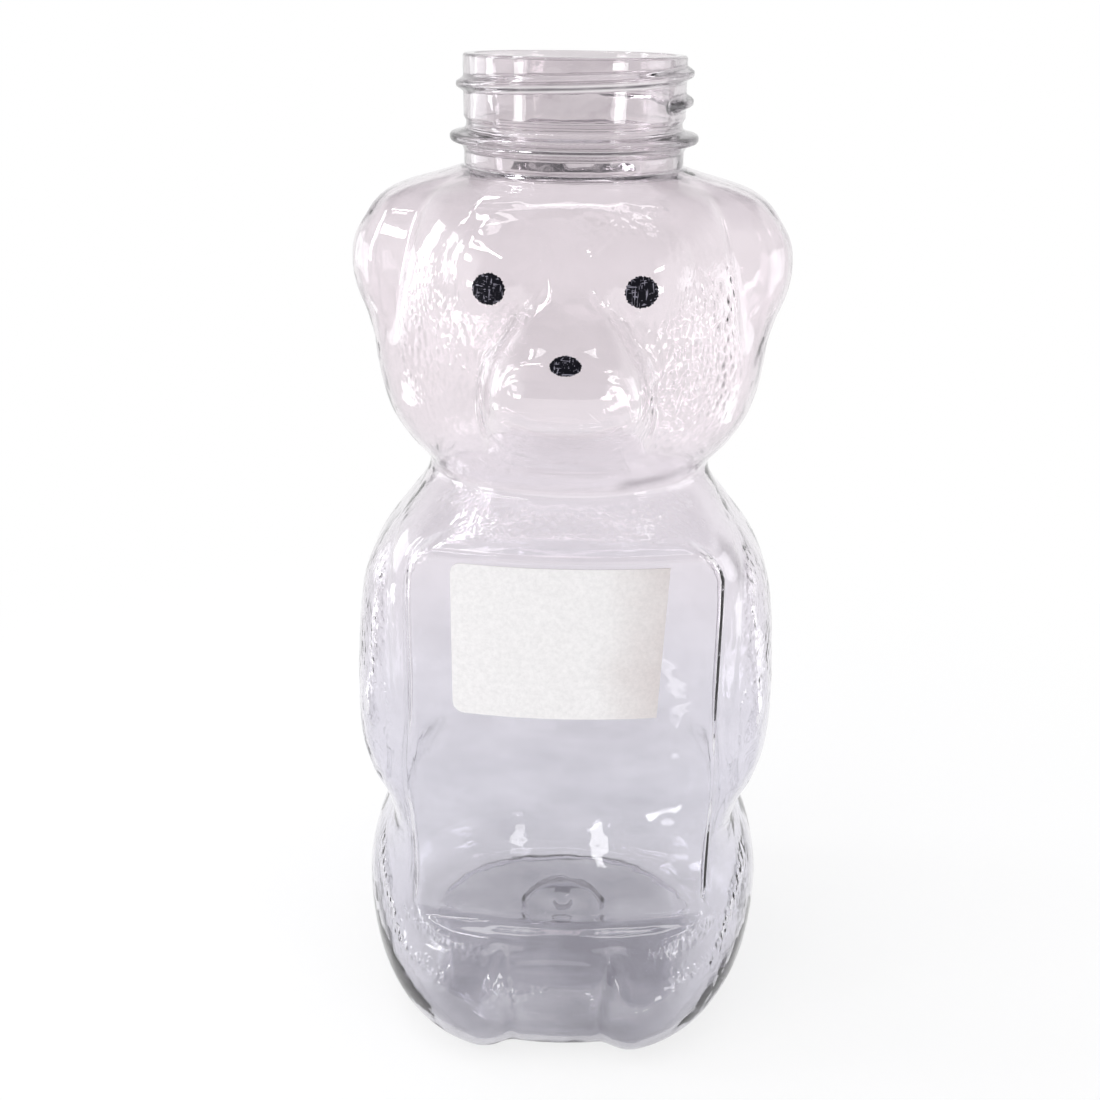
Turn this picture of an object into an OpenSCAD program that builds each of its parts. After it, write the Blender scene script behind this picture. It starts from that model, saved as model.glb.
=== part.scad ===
// Honey bear bottle: a blow-moulded clear bottle shaped as a sitting bear, standing open without its cap.
// The face looks towards -Y. The neck axis is vertical. The origin is at the middle of the standing base.

/* [Base and legs] */
// Width over the legs
base_w = 74.4; // [71:0.2:78]
// Reach of the lap in front of the neck axis
base_front = 38.6; // [36:0.2:41]
// Reach of the back behind the neck axis, at the base
base_back = 28; // [26:0.2:30]
// Height of the rounded heel
heel_h = 9; // [7:0.5:11]
// How far the standing ring lies inside the widest line of the base
heel_inset = 8.9; // [7.5:0.1:10.5]
// The same distance at the back
heel_inset_back = 5.7; // [4.5:0.1:7]
// Width of the flat standing ring
stand_w = 2.4; // [1.6:0.2:3.2]
// How far each foot stands out in front of the lap
foot_bulge = 3.7; // [2.6:0.1:4.8]
// Angle between the middle line and the inner side of each foot
foot_gap_a = 15.2; // [14:0.2:17]
// Angle over which a foot fades into the leg
foot_spread_a = 47; // [40:1:54]
// Height of the floor above the standing ring
floor_rise = 2.4; // [1.6:0.2:3.6]
// Radius of the round push-up in the middle of the floor
pushup_r = 8.2; // [6.5:0.1:9.5]
// Height of the push-up above the floor
pushup_rise = 1.8; // [1:0.1:2.6]
// Radius of the moulding boss in the middle of the push-up
boss_r = 2.2; // [1.6:0.1:3]

/* [Torso and arms] */
// Height of the waist between paws and legs
waist_z = 31.5; // [29:0.5:33]
// Height of the crease between torso and head
crease_z = 98.6; // [95:0.2:102]
// Width of the torso without its arms
torso_w = 67.6; // [65:0.2:70]
// Reach of the torso in front of the neck axis, beside the panel
torso_front = 29; // [28:0.2:30]
// Reach of the torso behind the neck axis
torso_back = 27.4; // [25:0.2:29]
// Width of the crease between torso and head
crease_w = 48.6; // [45:0.2:52]
// How far each arm stands out at the paw
arm_bulge = 5.4; // [4:0.1:6.6]
// Angle of the paw from the front
paw_a = 76; // [72:1:80]
// Angle of the shoulder from the front
shoulder_a = 88; // [84:1:92]
// Angle from the middle of an arm to its edge
arm_spread_a = 30; // [26:1:34]

/* [Panel] */
// Width of the raised front panel
panel_w = 53; // [50:0.5:54]
// Reach of the panel in front of the neck axis
panel_front = 30.5; // [30.1:0.1:32]
// Radius of the panel's gentle curve
panel_curve_r = 90; // [80:1:120]
// Radius of the panel's corners
panel_corner = 6; // [4:0.5:8]
// Width of the rounded step around the panel
panel_step = 2.4; // [1.8:0.1:3]
// How far the panel's bottom edge lies below the waist
panel_below = 8.9; // [8:0.1:9.8]
// Distance from the panel's top edge up to the crease
panel_above = 5.6; // [5:0.1:6.4]

/* [Head] */
// Height of the head, from the crease to the foot of the neck
head_h = 50; // [47:0.2:53]
// Width of the head without its ears
head_w = 65; // [62:0.2:68]
// Reach of the face in front of the neck axis
head_front = 27.6; // [26:0.1:29]
// Reach of the head behind the neck axis
head_back = 27.6; // [26:0.1:29]
// How far each ear stands out
ear_bulge = 6; // [4.6:0.1:7]
// Angle of the ears from the front
ear_a = 93; // [88:1:98]
// Angle from the middle of an ear to its edge
ear_spread_a = 24; // [20:1:28]
// How far the muzzle stands out
muzzle_bulge = 9.2; // [7:0.1:10.5]
// Half of the muzzle's width
muzzle_half_w = 14; // [12.8:0.1:15]
// How far the lips stand out from the muzzle
lip_bulge = 0.8; // [0.4:0.1:1.4]
// How far each eye swells
eye_bulge = 1.7; // [1:0.1:2.2]
// Distance between the eyes, centre to centre
eye_gap = 22.6; // [21:0.2:24]
// Height of the eyes above the crease
eye_rise = 34.8; // [34:0.1:36.5]

/* [Neck] */
// Bore of the mouth
mouth_d = 31.5; // [30.5:0.1:32]
// Outer diameter of the neck wall
neck_d = 35.2; // [34.6:0.1:35.6]
// Height of the neck, from its foot to the rim
neck_h = 16.6; // [15.8:0.1:18]
// Outer diameter of the neck ring
ring_d = 39.7; // [38.5:0.1:41]
// Thickness of the neck ring at its edge
ring_t = 1.4; // [1:0.1:1.8]
// Height of the neck ring above the foot of the neck, at its middle
ring_rise = 4.2; // [3.6:0.1:4.6]
// Height of the thread band above the groove, up to the rim
thread_band_h = 9.4; // [8.6:0.1:9.8]
// Depth of the groove under the thread band
groove_depth = 0.4; // [0.2:0.1:0.6]
// Rounding of the rim's outer edge
rim_edge = 0.4; // [0.2:0.1:0.6]

/* [Walls] */
// Thickness of the blown wall
wall = 0.6; // [0.45:0.05:0.8]

/* [Printed eyes and nose] */
// Thickness of the ink film
ink_t = 0.1; // [0.06:0.02:0.16]
// Clearance between a film and the wall under it
film_gap = 0.06; // [0.04:0.01:0.1]
// Diameter of an eye dot
eye_d = 4.6; // [3.8:0.1:5.4]
// Width of the nose
nose_w = 4.6; // [3.8:0.1:5.6]
// Height of the nose
nose_h = 2.6; // [2.2:0.1:3.4]
// Height of the nose above the crease
nose_rise = 25.6; // [24.6:0.1:26.6]

/* [Sticker] */
// Width of the sticker along its top edge
sticker_top_w = 34.8; // [30:0.2:38]
// Width of the sticker along its bottom edge
sticker_bottom_w = 33.6; // [29:0.2:37]
// Height of the sticker
sticker_h = 26.6; // [22:0.2:30]
// Distance from the panel's top edge to the sticker's top edge
sticker_drop = 2.4; // [1.5:0.1:4]
// How far the sticker's left edge lies from the panel's middle line
sticker_left = 18; // [15:0.2:20]
// Radius of the rounded corners on the sticker's left edge
sticker_corner = 1.9; // [1:0.1:3]
// Thickness of the paper
paper_t = 0.12; // [0.08:0.02:0.2]
// Thickness of the adhesive under the paper
glue_t = 0.05; // [0.03:0.01:0.08]

/* [Hidden] */
// Distance from the middle of the base back to the neck axis, which centres the bottle's depth
neck_y = 5.71;
neck_z = crease_z + head_h;
rim_z = neck_z + neck_h;
panel_bottom = waist_z - panel_below;
panel_top = crease_z - panel_above;
nose_z = crease_z + nose_rise;
eye_z = crease_z + eye_rise;
// How far the blown wall runs up inside the wall of the neck
neck_overlap = 1.6;
neck_root_r = neck_d / 2 - 0.5;
clear = [0.86, 0.86, 0.9, 0.4];
ink = [0.07, 0.07, 0.1];

// Heights, half widths, front and back reaches, and squareness in front and behind, of the plain body
BODY = [
    [0, base_w / 2 - 1.8, base_front + 2, base_back - 1.4, 2.25, 2.2],
    [6, base_w / 2 - 0.9, base_front - 0.3, base_back - 0.6, 2.28, 2.3],
    [13, base_w / 2 - 0.1, base_front - 1, base_back, 2.36, 2.4],
    [waist_z - 11.5, base_w / 2 - 0.1, torso_front + 5.4, base_back, 2.5, 2.5],
    [waist_z - 5.5, torso_w / 2 + 2.1, torso_front + 1.9, torso_back + 0.2, 2.75, 2.6],
    [waist_z, torso_w / 2 - 0.5, torso_front + 0.4, torso_back - 0.2, 3.3, 2.6],
    [waist_z + 6.5, torso_w / 2 - 3.1, torso_front, torso_back - 0.2, 4.2, 2.6],
    [crease_z - 32.6, torso_w / 2 - 1.3, torso_front, torso_back, 3.5, 2.6],
    [crease_z - 20.6, torso_w / 2 - 0.8, torso_front, torso_back - 0.2, 3.5, 2.6],
    [crease_z - 12.6, torso_w / 2 - 2.6, torso_front - 0.2, torso_back - 1, 3.8, 2.6],
    [crease_z - 6.6, crease_w / 2 + 3.6, torso_front - 1.4, torso_back - 3, 4, 2.45],
    [crease_z - 2.6, crease_w / 2 + 1, torso_front - 5.2, torso_back - 5.4, 2.8, 2.25],
    [crease_z, crease_w / 2, torso_front - 8.4, torso_back - 6.2, 2.15, 2.15],
    [crease_z + 2.4, crease_w / 2 + 0.3, head_front - 6, head_back - 5.6, 2.15, 2.15],
    [crease_z + 6.4, head_w / 2 - 4.6, head_front - 3.6, head_back - 3.4, 2.2, 2.2],
    [crease_z + 11.4, head_w / 2 - 1.7, head_front - 1.6, head_back - 1.6, 2.2, 2.2],
    [crease_z + 19.4, head_w / 2, head_front - 0.4, head_back - 0.4, 2.2, 2.2],
    [neck_z - 22.6, head_w / 2 - 0.6, head_front, head_back, 2.2, 2.2],
    [neck_z - 14.6, head_w / 2 - 2, head_front - 0.8, head_back - 0.6, 2.2, 2.2],
    [neck_z - 8.6, head_w / 2 - 3.9, head_front - 2.8, head_back - 2.4, 2.2, 2.2],
    [neck_z - 4, head_w / 2 - 6.7, head_front - 5.8, head_back - 5.6, 2.1, 2.1],
    [neck_z - 1.4, neck_root_r + 2.6, neck_root_r + 1.4, neck_root_r + 1.6, 2, 2],
    [neck_z, neck_root_r, neck_root_r, neck_root_r, 2, 2],
];

// Heights and bulges of the arms, paw at the bottom and shoulder at the top
ARM = [
    [waist_z + 4.5, 0],
    [waist_z + 7.5, 0.19 * arm_bulge],
    [waist_z + 10.5, 0.37 * arm_bulge],
    [waist_z + 14.5, 0.74 * arm_bulge],
    [waist_z + 20.5, arm_bulge],
    [waist_z + 28.5, 0.95 * arm_bulge],
    [crease_z - 30.6, 0.79 * arm_bulge],
    [crease_z - 22.6, 0.58 * arm_bulge],
    [crease_z - 15.6, 0.42 * arm_bulge],
    [crease_z - 9.6, 0.14 * arm_bulge],
    [crease_z - 4.6, 0],
];

// Heights and bulges of the ears
EAR = [
    [neck_z - 31.6, 0],
    [neck_z - 27.6, 0.07 * ear_bulge],
    [neck_z - 23.6, 0.33 * ear_bulge],
    [neck_z - 19.6, 0.68 * ear_bulge],
    [neck_z - 15.6, 0.91 * ear_bulge],
    [neck_z - 11.6, ear_bulge],
    [neck_z - 7.6, 0.88 * ear_bulge],
    [neck_z - 4.6, 0.7 * ear_bulge],
    [neck_z - 2.1, 0.42 * ear_bulge],
    [neck_z, 0],
];

// Heights, bulges and half widths of the muzzle, from chin to bridge
MUZZLE = [
    [crease_z + 4.9, 0, muzzle_half_w - 1.4],
    [crease_z + 9.4, 0.36 * muzzle_bulge, muzzle_half_w - 0.8],
    [crease_z + 14.4, 0.84 * muzzle_bulge, muzzle_half_w],
    [crease_z + 19.4, muzzle_bulge, muzzle_half_w],
    [crease_z + 24.4, 0.93 * muzzle_bulge, muzzle_half_w - 1.4],
    [crease_z + 28.4, 0.61 * muzzle_bulge, muzzle_half_w - 4.4],
    [crease_z + 32.4, 0.28 * muzzle_bulge, muzzle_half_w - 6.8],
    [crease_z + 38.4, 0, muzzle_half_w - 8.4],
];

// Small helpers for numbers and vectors
function clamp(x, lo, hi) = min(max(x, lo), hi);
function mix(a, b, t) = a + (b - a) * t;
function ease(a, b, x) = let(t = clamp((x - a) / (b - a), 0, 1)) t * t * (3 - 2 * t);
function dome(t) = exp(-pow(abs(t), 4));
function unit(v) = v / norm(v);
function steps(a, b, n) = [for (i = [0:n - 1]) mix(a, b, i / n)];

// A smooth curve through rows that each start with a height
function span_at(rows, z, i = 0) = i >= len(rows) - 2 || z < rows[i + 1][0] ? i : span_at(rows, z, i + 1);
function slope_at(rows, i) =
    let(lo = max(i - 1, 0), hi = min(i + 1, len(rows) - 1))
    (rows[hi] - rows[lo]) / (rows[hi][0] - rows[lo][0]);
function along(rows, z) =
    let(
        i = span_at(rows, z),
        h = rows[i + 1][0] - rows[i][0],
        t = clamp((z - rows[i][0]) / h, 0, 1),
        u = 1 - t
    )
    (1 + 2 * t) * u * u * rows[i] + t * u * u * h * slope_at(rows, i)
    + t * t * (3 - 2 * t) * rows[i + 1] - t * t * u * h * slope_at(rows, i + 1);

// Radius of the plain body, a superellipse with its own reach to the front and to the back
function plain_radius(a, s) =
    let(
        front = cos(a) > 0,
        reach = front ? s[2] : s[3],
        n = front ? s[4] : s[5]
    )
    pow(pow(abs(sin(a)) / s[1], n) + pow(abs(cos(a)) / reach, n), -1 / n);

// What arms, ears and feet add, by the angle from the front and the height
function arm_part(a, z) =
    let(middle = mix(paw_a, shoulder_a, ease(waist_z + 13.5, waist_z + 48.5, z)))
    along(ARM, z)[1] * dome((a - middle) / arm_spread_a);
function ear_part(a, z) = along(EAR, z)[1] * dome((a - ear_a) / ear_spread_a);
function foot_part(a, z) =
    let(
        inner = exp(-pow(max(2 * foot_gap_a - a, 0) / foot_gap_a, 8)),
        outer = pow(cos(90 * clamp((a - 1.35 * foot_gap_a) / foot_spread_a, 0, 1)), 2)
    )
    foot_bulge * dome((z - 6.5) / 10.5) * inner * outer;

// What the muzzle, the lips and the swell of each eye add, by the distance from the middle line
function muzzle_part(x, z) =
    let(m = along(MUZZLE, z))
    m[1] * pow(max(1 - pow(abs(x) / m[2], 2.6), 0), 1.2);
function lip_part(x, z) =
    let(d = norm([x / 10.4, (z - crease_z - 19) / 4.6]))
    lip_bulge * max(1 - pow(d, 2.4), 0);
function eye_part(x, z) =
    let(d = norm([(abs(x) - eye_gap / 2) / 7.6, (z - eye_z - 2.2) / 7]))
    eye_bulge * pow(max(1 - d * d, 0), 0.8);

// Radius of the front panel's curved sheet, and its share at a place: 1 on the panel, 0 beside it
function panel_radius(a) =
    let(back = panel_curve_r - panel_front)
    sqrt(panel_curve_r * panel_curve_r - pow(back * sin(a), 2)) - back * cos(a);
function panel_share(a, z) =
    let(
        x = abs(panel_radius(a) * sin(a)) - panel_w / 2 + panel_corner,
        h = abs(z - (panel_bottom + panel_top) / 2) - (panel_top - panel_bottom) / 2 + panel_corner,
        d = norm([max(x, 0), max(h, 0)]) + min(max(x, h), 0) - panel_corner
    )
    cos(a) > 0.2 ? 1 - ease(-panel_step / 2, panel_step / 2, d) : 0;

// Radius of the whole outside at an angle from the front and a height
function radius(th, z) =
    let(
        a = abs(th),
        limbs = plain_radius(a, along(BODY, z)) + arm_part(a, z) + ear_part(a, z) + foot_part(a, z),
        x = limbs * sin(a),
        face = cos(a) > 0 ? muzzle_part(x, z) + lip_part(x, z) + eye_part(x, z) : 0
    )
    mix(limbs + face, panel_radius(a), panel_share(a, z));

function place(r, th, z) = [r * sin(th), -r * cos(th), z];

// Angles of the mesh from front to back, closer together at the feet and the panel's upright edges
panel_edge_a = atan2(panel_w / 2, panel_front - panel_w * panel_w / 8 / panel_curve_r);
HALF = concat(
    steps(0, foot_gap_a - 1.8, 3),
    [foot_gap_a - 1.8],
    steps(foot_gap_a + 2.2, panel_edge_a - 1.5, 5),
    [panel_edge_a - 1.5],
    steps(panel_edge_a + 1.6, 180, 16)
);
ANGLES = concat(HALF, [180], [for (i = [len(HALF) - 1:-1:1]) -HALF[i]]);
AROUND = len(ANGLES);

// Heights of the mesh from the top of the heel to the neck, closer together at the panel's level edges
edge = panel_step / 2;
LEVELS = concat(
    steps(heel_h, panel_bottom - edge, 3),
    steps(panel_bottom - edge, panel_bottom + edge, 2),
    steps(panel_bottom + edge, waist_z + 4.5, 4),
    steps(waist_z + 4.5, crease_z - 24, 7),
    steps(crease_z - 24, panel_top - panel_corner - edge, 3),
    steps(panel_top - panel_corner - edge, panel_top - edge, 4),
    steps(panel_top - edge, panel_top + edge, 2),
    steps(panel_top + edge, crease_z, 2),
    steps(crease_z, crease_z + 6, 3),
    steps(crease_z + 6, neck_z - 9, 10),
    steps(neck_z - 9, neck_z - 1, 5),
    [neck_z - 0.6, neck_z, neck_z + neck_overlap]
);

// Rings of the outside: floor, standing ring, heel, then the body up into the neck
function circle_ring(r, z) = [for (th = ANGLES) place(r, th, z)];
function heel_in(th) = mix(heel_inset, heel_inset_back, ease(60, 150, abs(th)));
function base_r(th) = radius(th, 0) - heel_in(th) - stand_w;
function floor_ring(t) =
    [for (th = ANGLES) place(mix(base_r(th), pushup_r, t), th, floor_rise * sin(90 * min(4 * t, 1)))];
function heel_ring(t) =
    let(z = heel_h * (1 - cos(90 * t)))
    [for (th = ANGLES) place(radius(th, z) - heel_in(th) * (1 - sin(90 * t)), th, z)];
OUTSIDE = concat(
    [
        circle_ring(boss_r * 0.75, floor_rise + pushup_rise - 0.9),
        circle_ring(boss_r, floor_rise + pushup_rise),
        circle_ring(pushup_r * 0.7, floor_rise + pushup_rise),
        circle_ring(pushup_r, floor_rise),
    ],
    [for (t = [0.5, 0.2, 0.08, 0]) floor_ring(t)],
    [for (t = [0, 0.22, 0.45, 0.7]) heel_ring(t)],
    [for (z = LEVELS) [for (th = ANGLES) place(radius(th, min(z, neck_z)), th, z)]]
);
DEPTH = len(OUTSIDE);

// The inside follows the outside at the wall's thickness
function normal_at(k, j) =
    let(
        lo = OUTSIDE[max(k - 1, 0)][j],
        hi = OUTSIDE[min(k + 1, DEPTH - 1)][j],
        left = OUTSIDE[k][(j + AROUND - 1) % AROUND],
        right = OUTSIDE[k][(j + 1) % AROUND]
    )
    unit(cross(right - left, hi - lo));
INSIDE = [for (k = [0:DEPTH - 1]) [for (j = [0:AROUND - 1]) OUTSIDE[k][j] - wall * normal_at(k, j)]];

// Faces between neighbouring rings, split along the shorter diagonal, and fans that close the poles
function skin_faces(points) = [
    for (k = [0:len(points) / AROUND - 2])
        for (j = [0:AROUND - 1])
            let(
                a = k * AROUND + j,
                b = k * AROUND + (j + 1) % AROUND,
                c = b + AROUND,
                d = a + AROUND,
                lean = norm(points[a] - points[c]) - norm(points[b] - points[d])
            )
            for (f = lean < 0 ? [[a, d, c], [a, c, b]] : [[a, d, b], [b, d, c]]) f
];
function fan_faces(pole, start, flip) = [
    for (j = [0:AROUND - 1])
        let(a = start + j, b = start + (j + 1) % AROUND)
        flip ? [pole, b, a] : [pole, a, b]
];

module blown_wall() {
    skin = concat([for (r = OUTSIDE) each r], [for (k = [DEPTH - 1:-1:0]) each INSIDE[k]]);
    n = len(skin);
    floor_mid = [0, 0, OUTSIDE[0][0][2]];
    polyhedron(
        points = concat(skin, [floor_mid, floor_mid + [0, 0, wall]]),
        faces = concat(
            skin_faces(skin),
            fan_faces(n, 0, false),
            fan_faces(n + 1, n - AROUND, true)
        ),
        convexity = 12
    );
}

// The moulded neck: rim, band for the thread, groove, ring and plain foot, turned about the neck axis
module neck_finish() {
    bore_r = mouth_d / 2;
    neck_r = neck_d / 2;
    ring_r = ring_d / 2;
    ring_z = neck_z + ring_rise;
    band_z = rim_z - thread_band_h;
    rotate_extrude($fn = 96)
        polygon([
            [bore_r, neck_z],
            [neck_r, neck_z],
            [neck_r, ring_z - ring_t],
            [ring_r, ring_z - ring_t / 2],
            [ring_r, ring_z + ring_t / 2],
            [neck_r - groove_depth, ring_z + ring_t],
            [neck_r - groove_depth, band_z - groove_depth],
            [neck_r, band_z],
            [neck_r, rim_z - rim_edge],
            [neck_r - rim_edge, rim_z],
            [bore_r, rim_z],
        ]);
}

module bottle_shell() {
    color(clear)
        translate([0, neck_y, 0])
            union() {
                blown_wall();
                neck_finish();
            }
}

// An ink film: an oval patch of the outside, lifted by the film's clearance
module ink_film(x, z, w, h) {
    turns = 20;
    middle_a = let(r = radius(asin(clamp(x / 30, -1, 1)), z)) asin(clamp(x / r, -1, 1));
    per_mm = 180 / PI / radius(middle_a, z);
    function spot(u, v) =
        let(
            th = middle_a + u * w / 2 * per_mm / cos(middle_a),
            zz = z + v * h / 2,
            d = 0.2,
            p = place(radius(th, zz), th, zz),
            n = unit(cross(
                place(radius(th + d, zz), th + d, zz) - place(radius(th - d, zz), th - d, zz),
                place(radius(th, zz + d), th, zz + d) - place(radius(th, zz - d), th, zz - d)
            ))
        )
        [p, n];
    spots = concat([spot(0, 0)], [for (s = [0.35, 0.7, 1]) for (i = [0:turns - 1])
        spot(s * cos(i * 360 / turns), s * sin(i * 360 / turns))]);
    count = len(spots);
    points = concat(
        [for (s = spots) s[0] + film_gap * s[1]],
        [for (s = spots) s[0] + (film_gap + ink_t) * s[1]]
    );
    function next(i) = (i + 1) % turns;
    cap = [
        for (i = [0:turns - 1]) [0, 1 + i, 1 + next(i)],
        for (k = [0, 1])
            for (i = [0:turns - 1])
                let(a = 1 + k * turns + i, b = 1 + k * turns + next(i))
                for (f = [[a, a + turns, b + turns], [a, b + turns, b]]) f
    ];
    last = 1 + 2 * turns;
    rim = [
        for (i = [0:turns - 1])
            let(a = last + i, b = last + next(i))
            for (f = [[a, a + count, b + count], [a, b + count, b]]) f
    ];
    polyhedron(
        points = points,
        faces = concat(
            cap,
            [for (f = cap) [f[0] + count, f[2] + count, f[1] + count]],
            rim
        ),
        convexity = 4
    );
}

module eye_left() {
    color(ink)
        translate([0, neck_y, 0])
            ink_film(eye_gap / 2, eye_z, eye_d, eye_d);
}

module eye_right() {
    color(ink)
        translate([0, neck_y, 0])
            ink_film(-eye_gap / 2, eye_z, eye_d, eye_d);
}

module nose() {
    color(ink)
        translate([0, neck_y, 0])
            ink_film(0, nose_z, nose_w, nose_h);
}

// The sticker's outline seen from the front: two round corners on the left, a slanted cut on the right
function corner(middle, from) =
    [for (i = [0:6]) middle + sticker_corner * [cos(from + 15 * i), sin(from + 15 * i)]];
module sticker_outline() {
    top = panel_top - sticker_drop;
    bottom = top - sticker_h;
    inner = sticker_corner - sticker_left;
    polygon(concat(
        corner([inner, top - sticker_corner], 90),
        corner([inner, bottom + sticker_corner], 180),
        [[sticker_bottom_w - sticker_left, bottom], [sticker_top_w - sticker_left, top]]
    ));
}

// A sheet of the sticker, lifted off the panel's curve and cut to the outline
module sticker_sheet(lift, t) {
    translate([0, neck_y, 0])
        intersection() {
            translate([0, panel_curve_r - panel_front, panel_bottom])
                rotate_extrude($fn = 360)
                    translate([panel_curve_r + lift, 0])
                        square([t, panel_top - panel_bottom]);
            rotate([90, 0, 0])
                linear_extrude(2 * panel_front)
                    sticker_outline();
        }
}

module sticker_adhesive() {
    color([0.93, 0.92, 0.86, 0.6])
        sticker_sheet(film_gap, glue_t);
}

module sticker_paper() {
    color([0.95, 0.94, 0.93])
        sticker_sheet(film_gap + glue_t, paper_t);
}

bottle_shell();
eye_left();
eye_right();
nose();
sticker_adhesive();
sticker_paper();
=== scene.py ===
"""Honey bear bottle of clear blown plastic: the finished look of each piece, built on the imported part."""

import logging
import math
from dataclasses import dataclass, field
from enum import Enum

import bpy
import numpy as np
from mathutils import Euler, Matrix, Vector


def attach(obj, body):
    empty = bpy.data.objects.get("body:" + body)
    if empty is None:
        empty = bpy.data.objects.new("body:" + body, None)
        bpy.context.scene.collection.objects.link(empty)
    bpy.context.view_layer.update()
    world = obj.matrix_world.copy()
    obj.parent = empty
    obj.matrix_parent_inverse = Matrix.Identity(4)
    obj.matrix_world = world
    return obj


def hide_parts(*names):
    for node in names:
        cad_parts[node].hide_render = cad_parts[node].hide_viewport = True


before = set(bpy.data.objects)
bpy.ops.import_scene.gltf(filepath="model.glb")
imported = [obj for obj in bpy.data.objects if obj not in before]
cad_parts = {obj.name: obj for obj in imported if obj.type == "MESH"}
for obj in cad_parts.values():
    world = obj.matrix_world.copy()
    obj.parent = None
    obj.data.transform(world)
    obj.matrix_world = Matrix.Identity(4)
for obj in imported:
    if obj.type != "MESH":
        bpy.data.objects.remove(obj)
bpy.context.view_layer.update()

log = logging.getLogger("honey_bear")
MM = 0.001
NECK_Y = 5.71


# Small helpers


def srgb(code: str, alpha: float = 1.0) -> tuple[float, float, float, float]:
    """Turns an sRGB hex colour into the linear values that a shader takes.

    Args:
        code: six hex digits, such as "f4f2ec".
        alpha: the fourth value.

    Returns:
        Red, green, blue and alpha.
    """
    parts = [int(code[i : i + 2], 16) / 255 for i in (0, 2, 4)]
    r, g, b = (c / 12.92 if c <= 0.04045 else ((c + 0.055) / 1.055) ** 2.4 for c in parts)
    return r, g, b, alpha


def add(tree: bpy.types.NodeTree, kind: str, wires: dict | None = None, **settings: object) -> bpy.types.Node:
    """Adds a node with its settings, socket values and links.

    Args:
        tree: the node tree.
        kind: the node's type name.
        wires: socket name or number, to a value or to the output socket that feeds it.
        settings: the node's own properties.

    Returns:
        The new node.
    """
    node = tree.nodes.new(kind)
    for name, value in settings.items():
        setattr(node, name, value)
    for socket, value in (wires or {}).items():
        if isinstance(value, bpy.types.NodeSocket):
            tree.links.new(value, node.inputs[socket])
        else:
            node.inputs[socket].default_value = value
    return node


def ease(lo: float, hi: float, x: np.ndarray) -> np.ndarray:
    """Goes smoothly from 0 at lo to 1 at hi."""
    t = np.clip((x - lo) / (hi - lo), 0, 1)
    return t * t * (3 - 2 * t)


def dome(t: np.ndarray, power: float = 4) -> np.ndarray:
    """A flat-topped bump, 1 at t = 0 and nearly 0 past t = 1.3."""
    return np.exp(-np.abs(t) ** power)


def along(rows: np.ndarray, z: np.ndarray) -> list[np.ndarray]:
    """Follows the smooth curve through rows that each start with a height.

    Args:
        rows: one row for each height, lowest first.
        z: heights to look up, in millimetres.

    Returns:
        One array for each further column of the rows.
    """
    h, v = rows[:, 0], rows[:, 1:]
    m = np.empty_like(v)
    m[1:-1] = (v[2:] - v[:-2]) / (h[2:] - h[:-2])[:, None]
    m[0] = (v[1] - v[0]) / (h[1] - h[0])
    m[-1] = (v[-1] - v[-2]) / (h[-1] - h[-2])
    z = np.clip(z, h[0], h[-1])
    i = np.clip(np.searchsorted(h, z, side="right") - 1, 0, len(h) - 2)
    step = h[i + 1] - h[i]
    t = (z - h[i]) / step
    u = 1 - t
    made = []
    for c in range(v.shape[1]):
        made.append(
            (1 + 2 * t) * u * u * v[i, c]
            + t * u * u * step * m[i, c]
            + t * t * (3 - 2 * t) * v[i + 1, c]
            - t * t * u * step * m[i + 1, c]
        )
    return made


def spaced(lo: float, hi: float, count: int, humps: tuple[tuple[float, float, float], ...]) -> np.ndarray:
    """Places values from lo to hi, closer together at the humps.

    Args:
        lo: first value.
        hi: last value.
        count: how many values.
        humps: centre, half width and extra density of each hump.

    Returns:
        The values in rising order.
    """
    x = np.linspace(lo, hi, 4001)
    density = np.ones_like(x)
    for centre, half, extra in humps:
        density += extra * np.exp(-(((x - centre) / half) ** 2))
    total = np.concatenate([[0], np.cumsum((density[1:] + density[:-1]) / 2)])
    return np.interp(np.linspace(0, total[-1], count), total, x)


def mesh_piece(name: str, points: np.ndarray, faces: list, smooth: bool = True) -> bpy.types.Object:
    """Makes a mesh object at the origin from points in millimetres.

    Args:
        name: the piece's name.
        points: one row for each vertex, in millimetres.
        faces: vertex numbers of each face.
        smooth: whether the faces shade smoothly.

    Returns:
        The new object, linked to the scene.
    """
    mesh = bpy.data.meshes.new(name)
    mesh.from_pydata((points * MM).tolist(), [], faces)
    mesh.polygons.foreach_set("use_smooth", [smooth] * len(mesh.polygons))
    mesh.update()
    piece = bpy.data.objects.new(name, mesh)
    bpy.context.scene.collection.objects.link(piece)
    return piece


# Finishes


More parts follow.
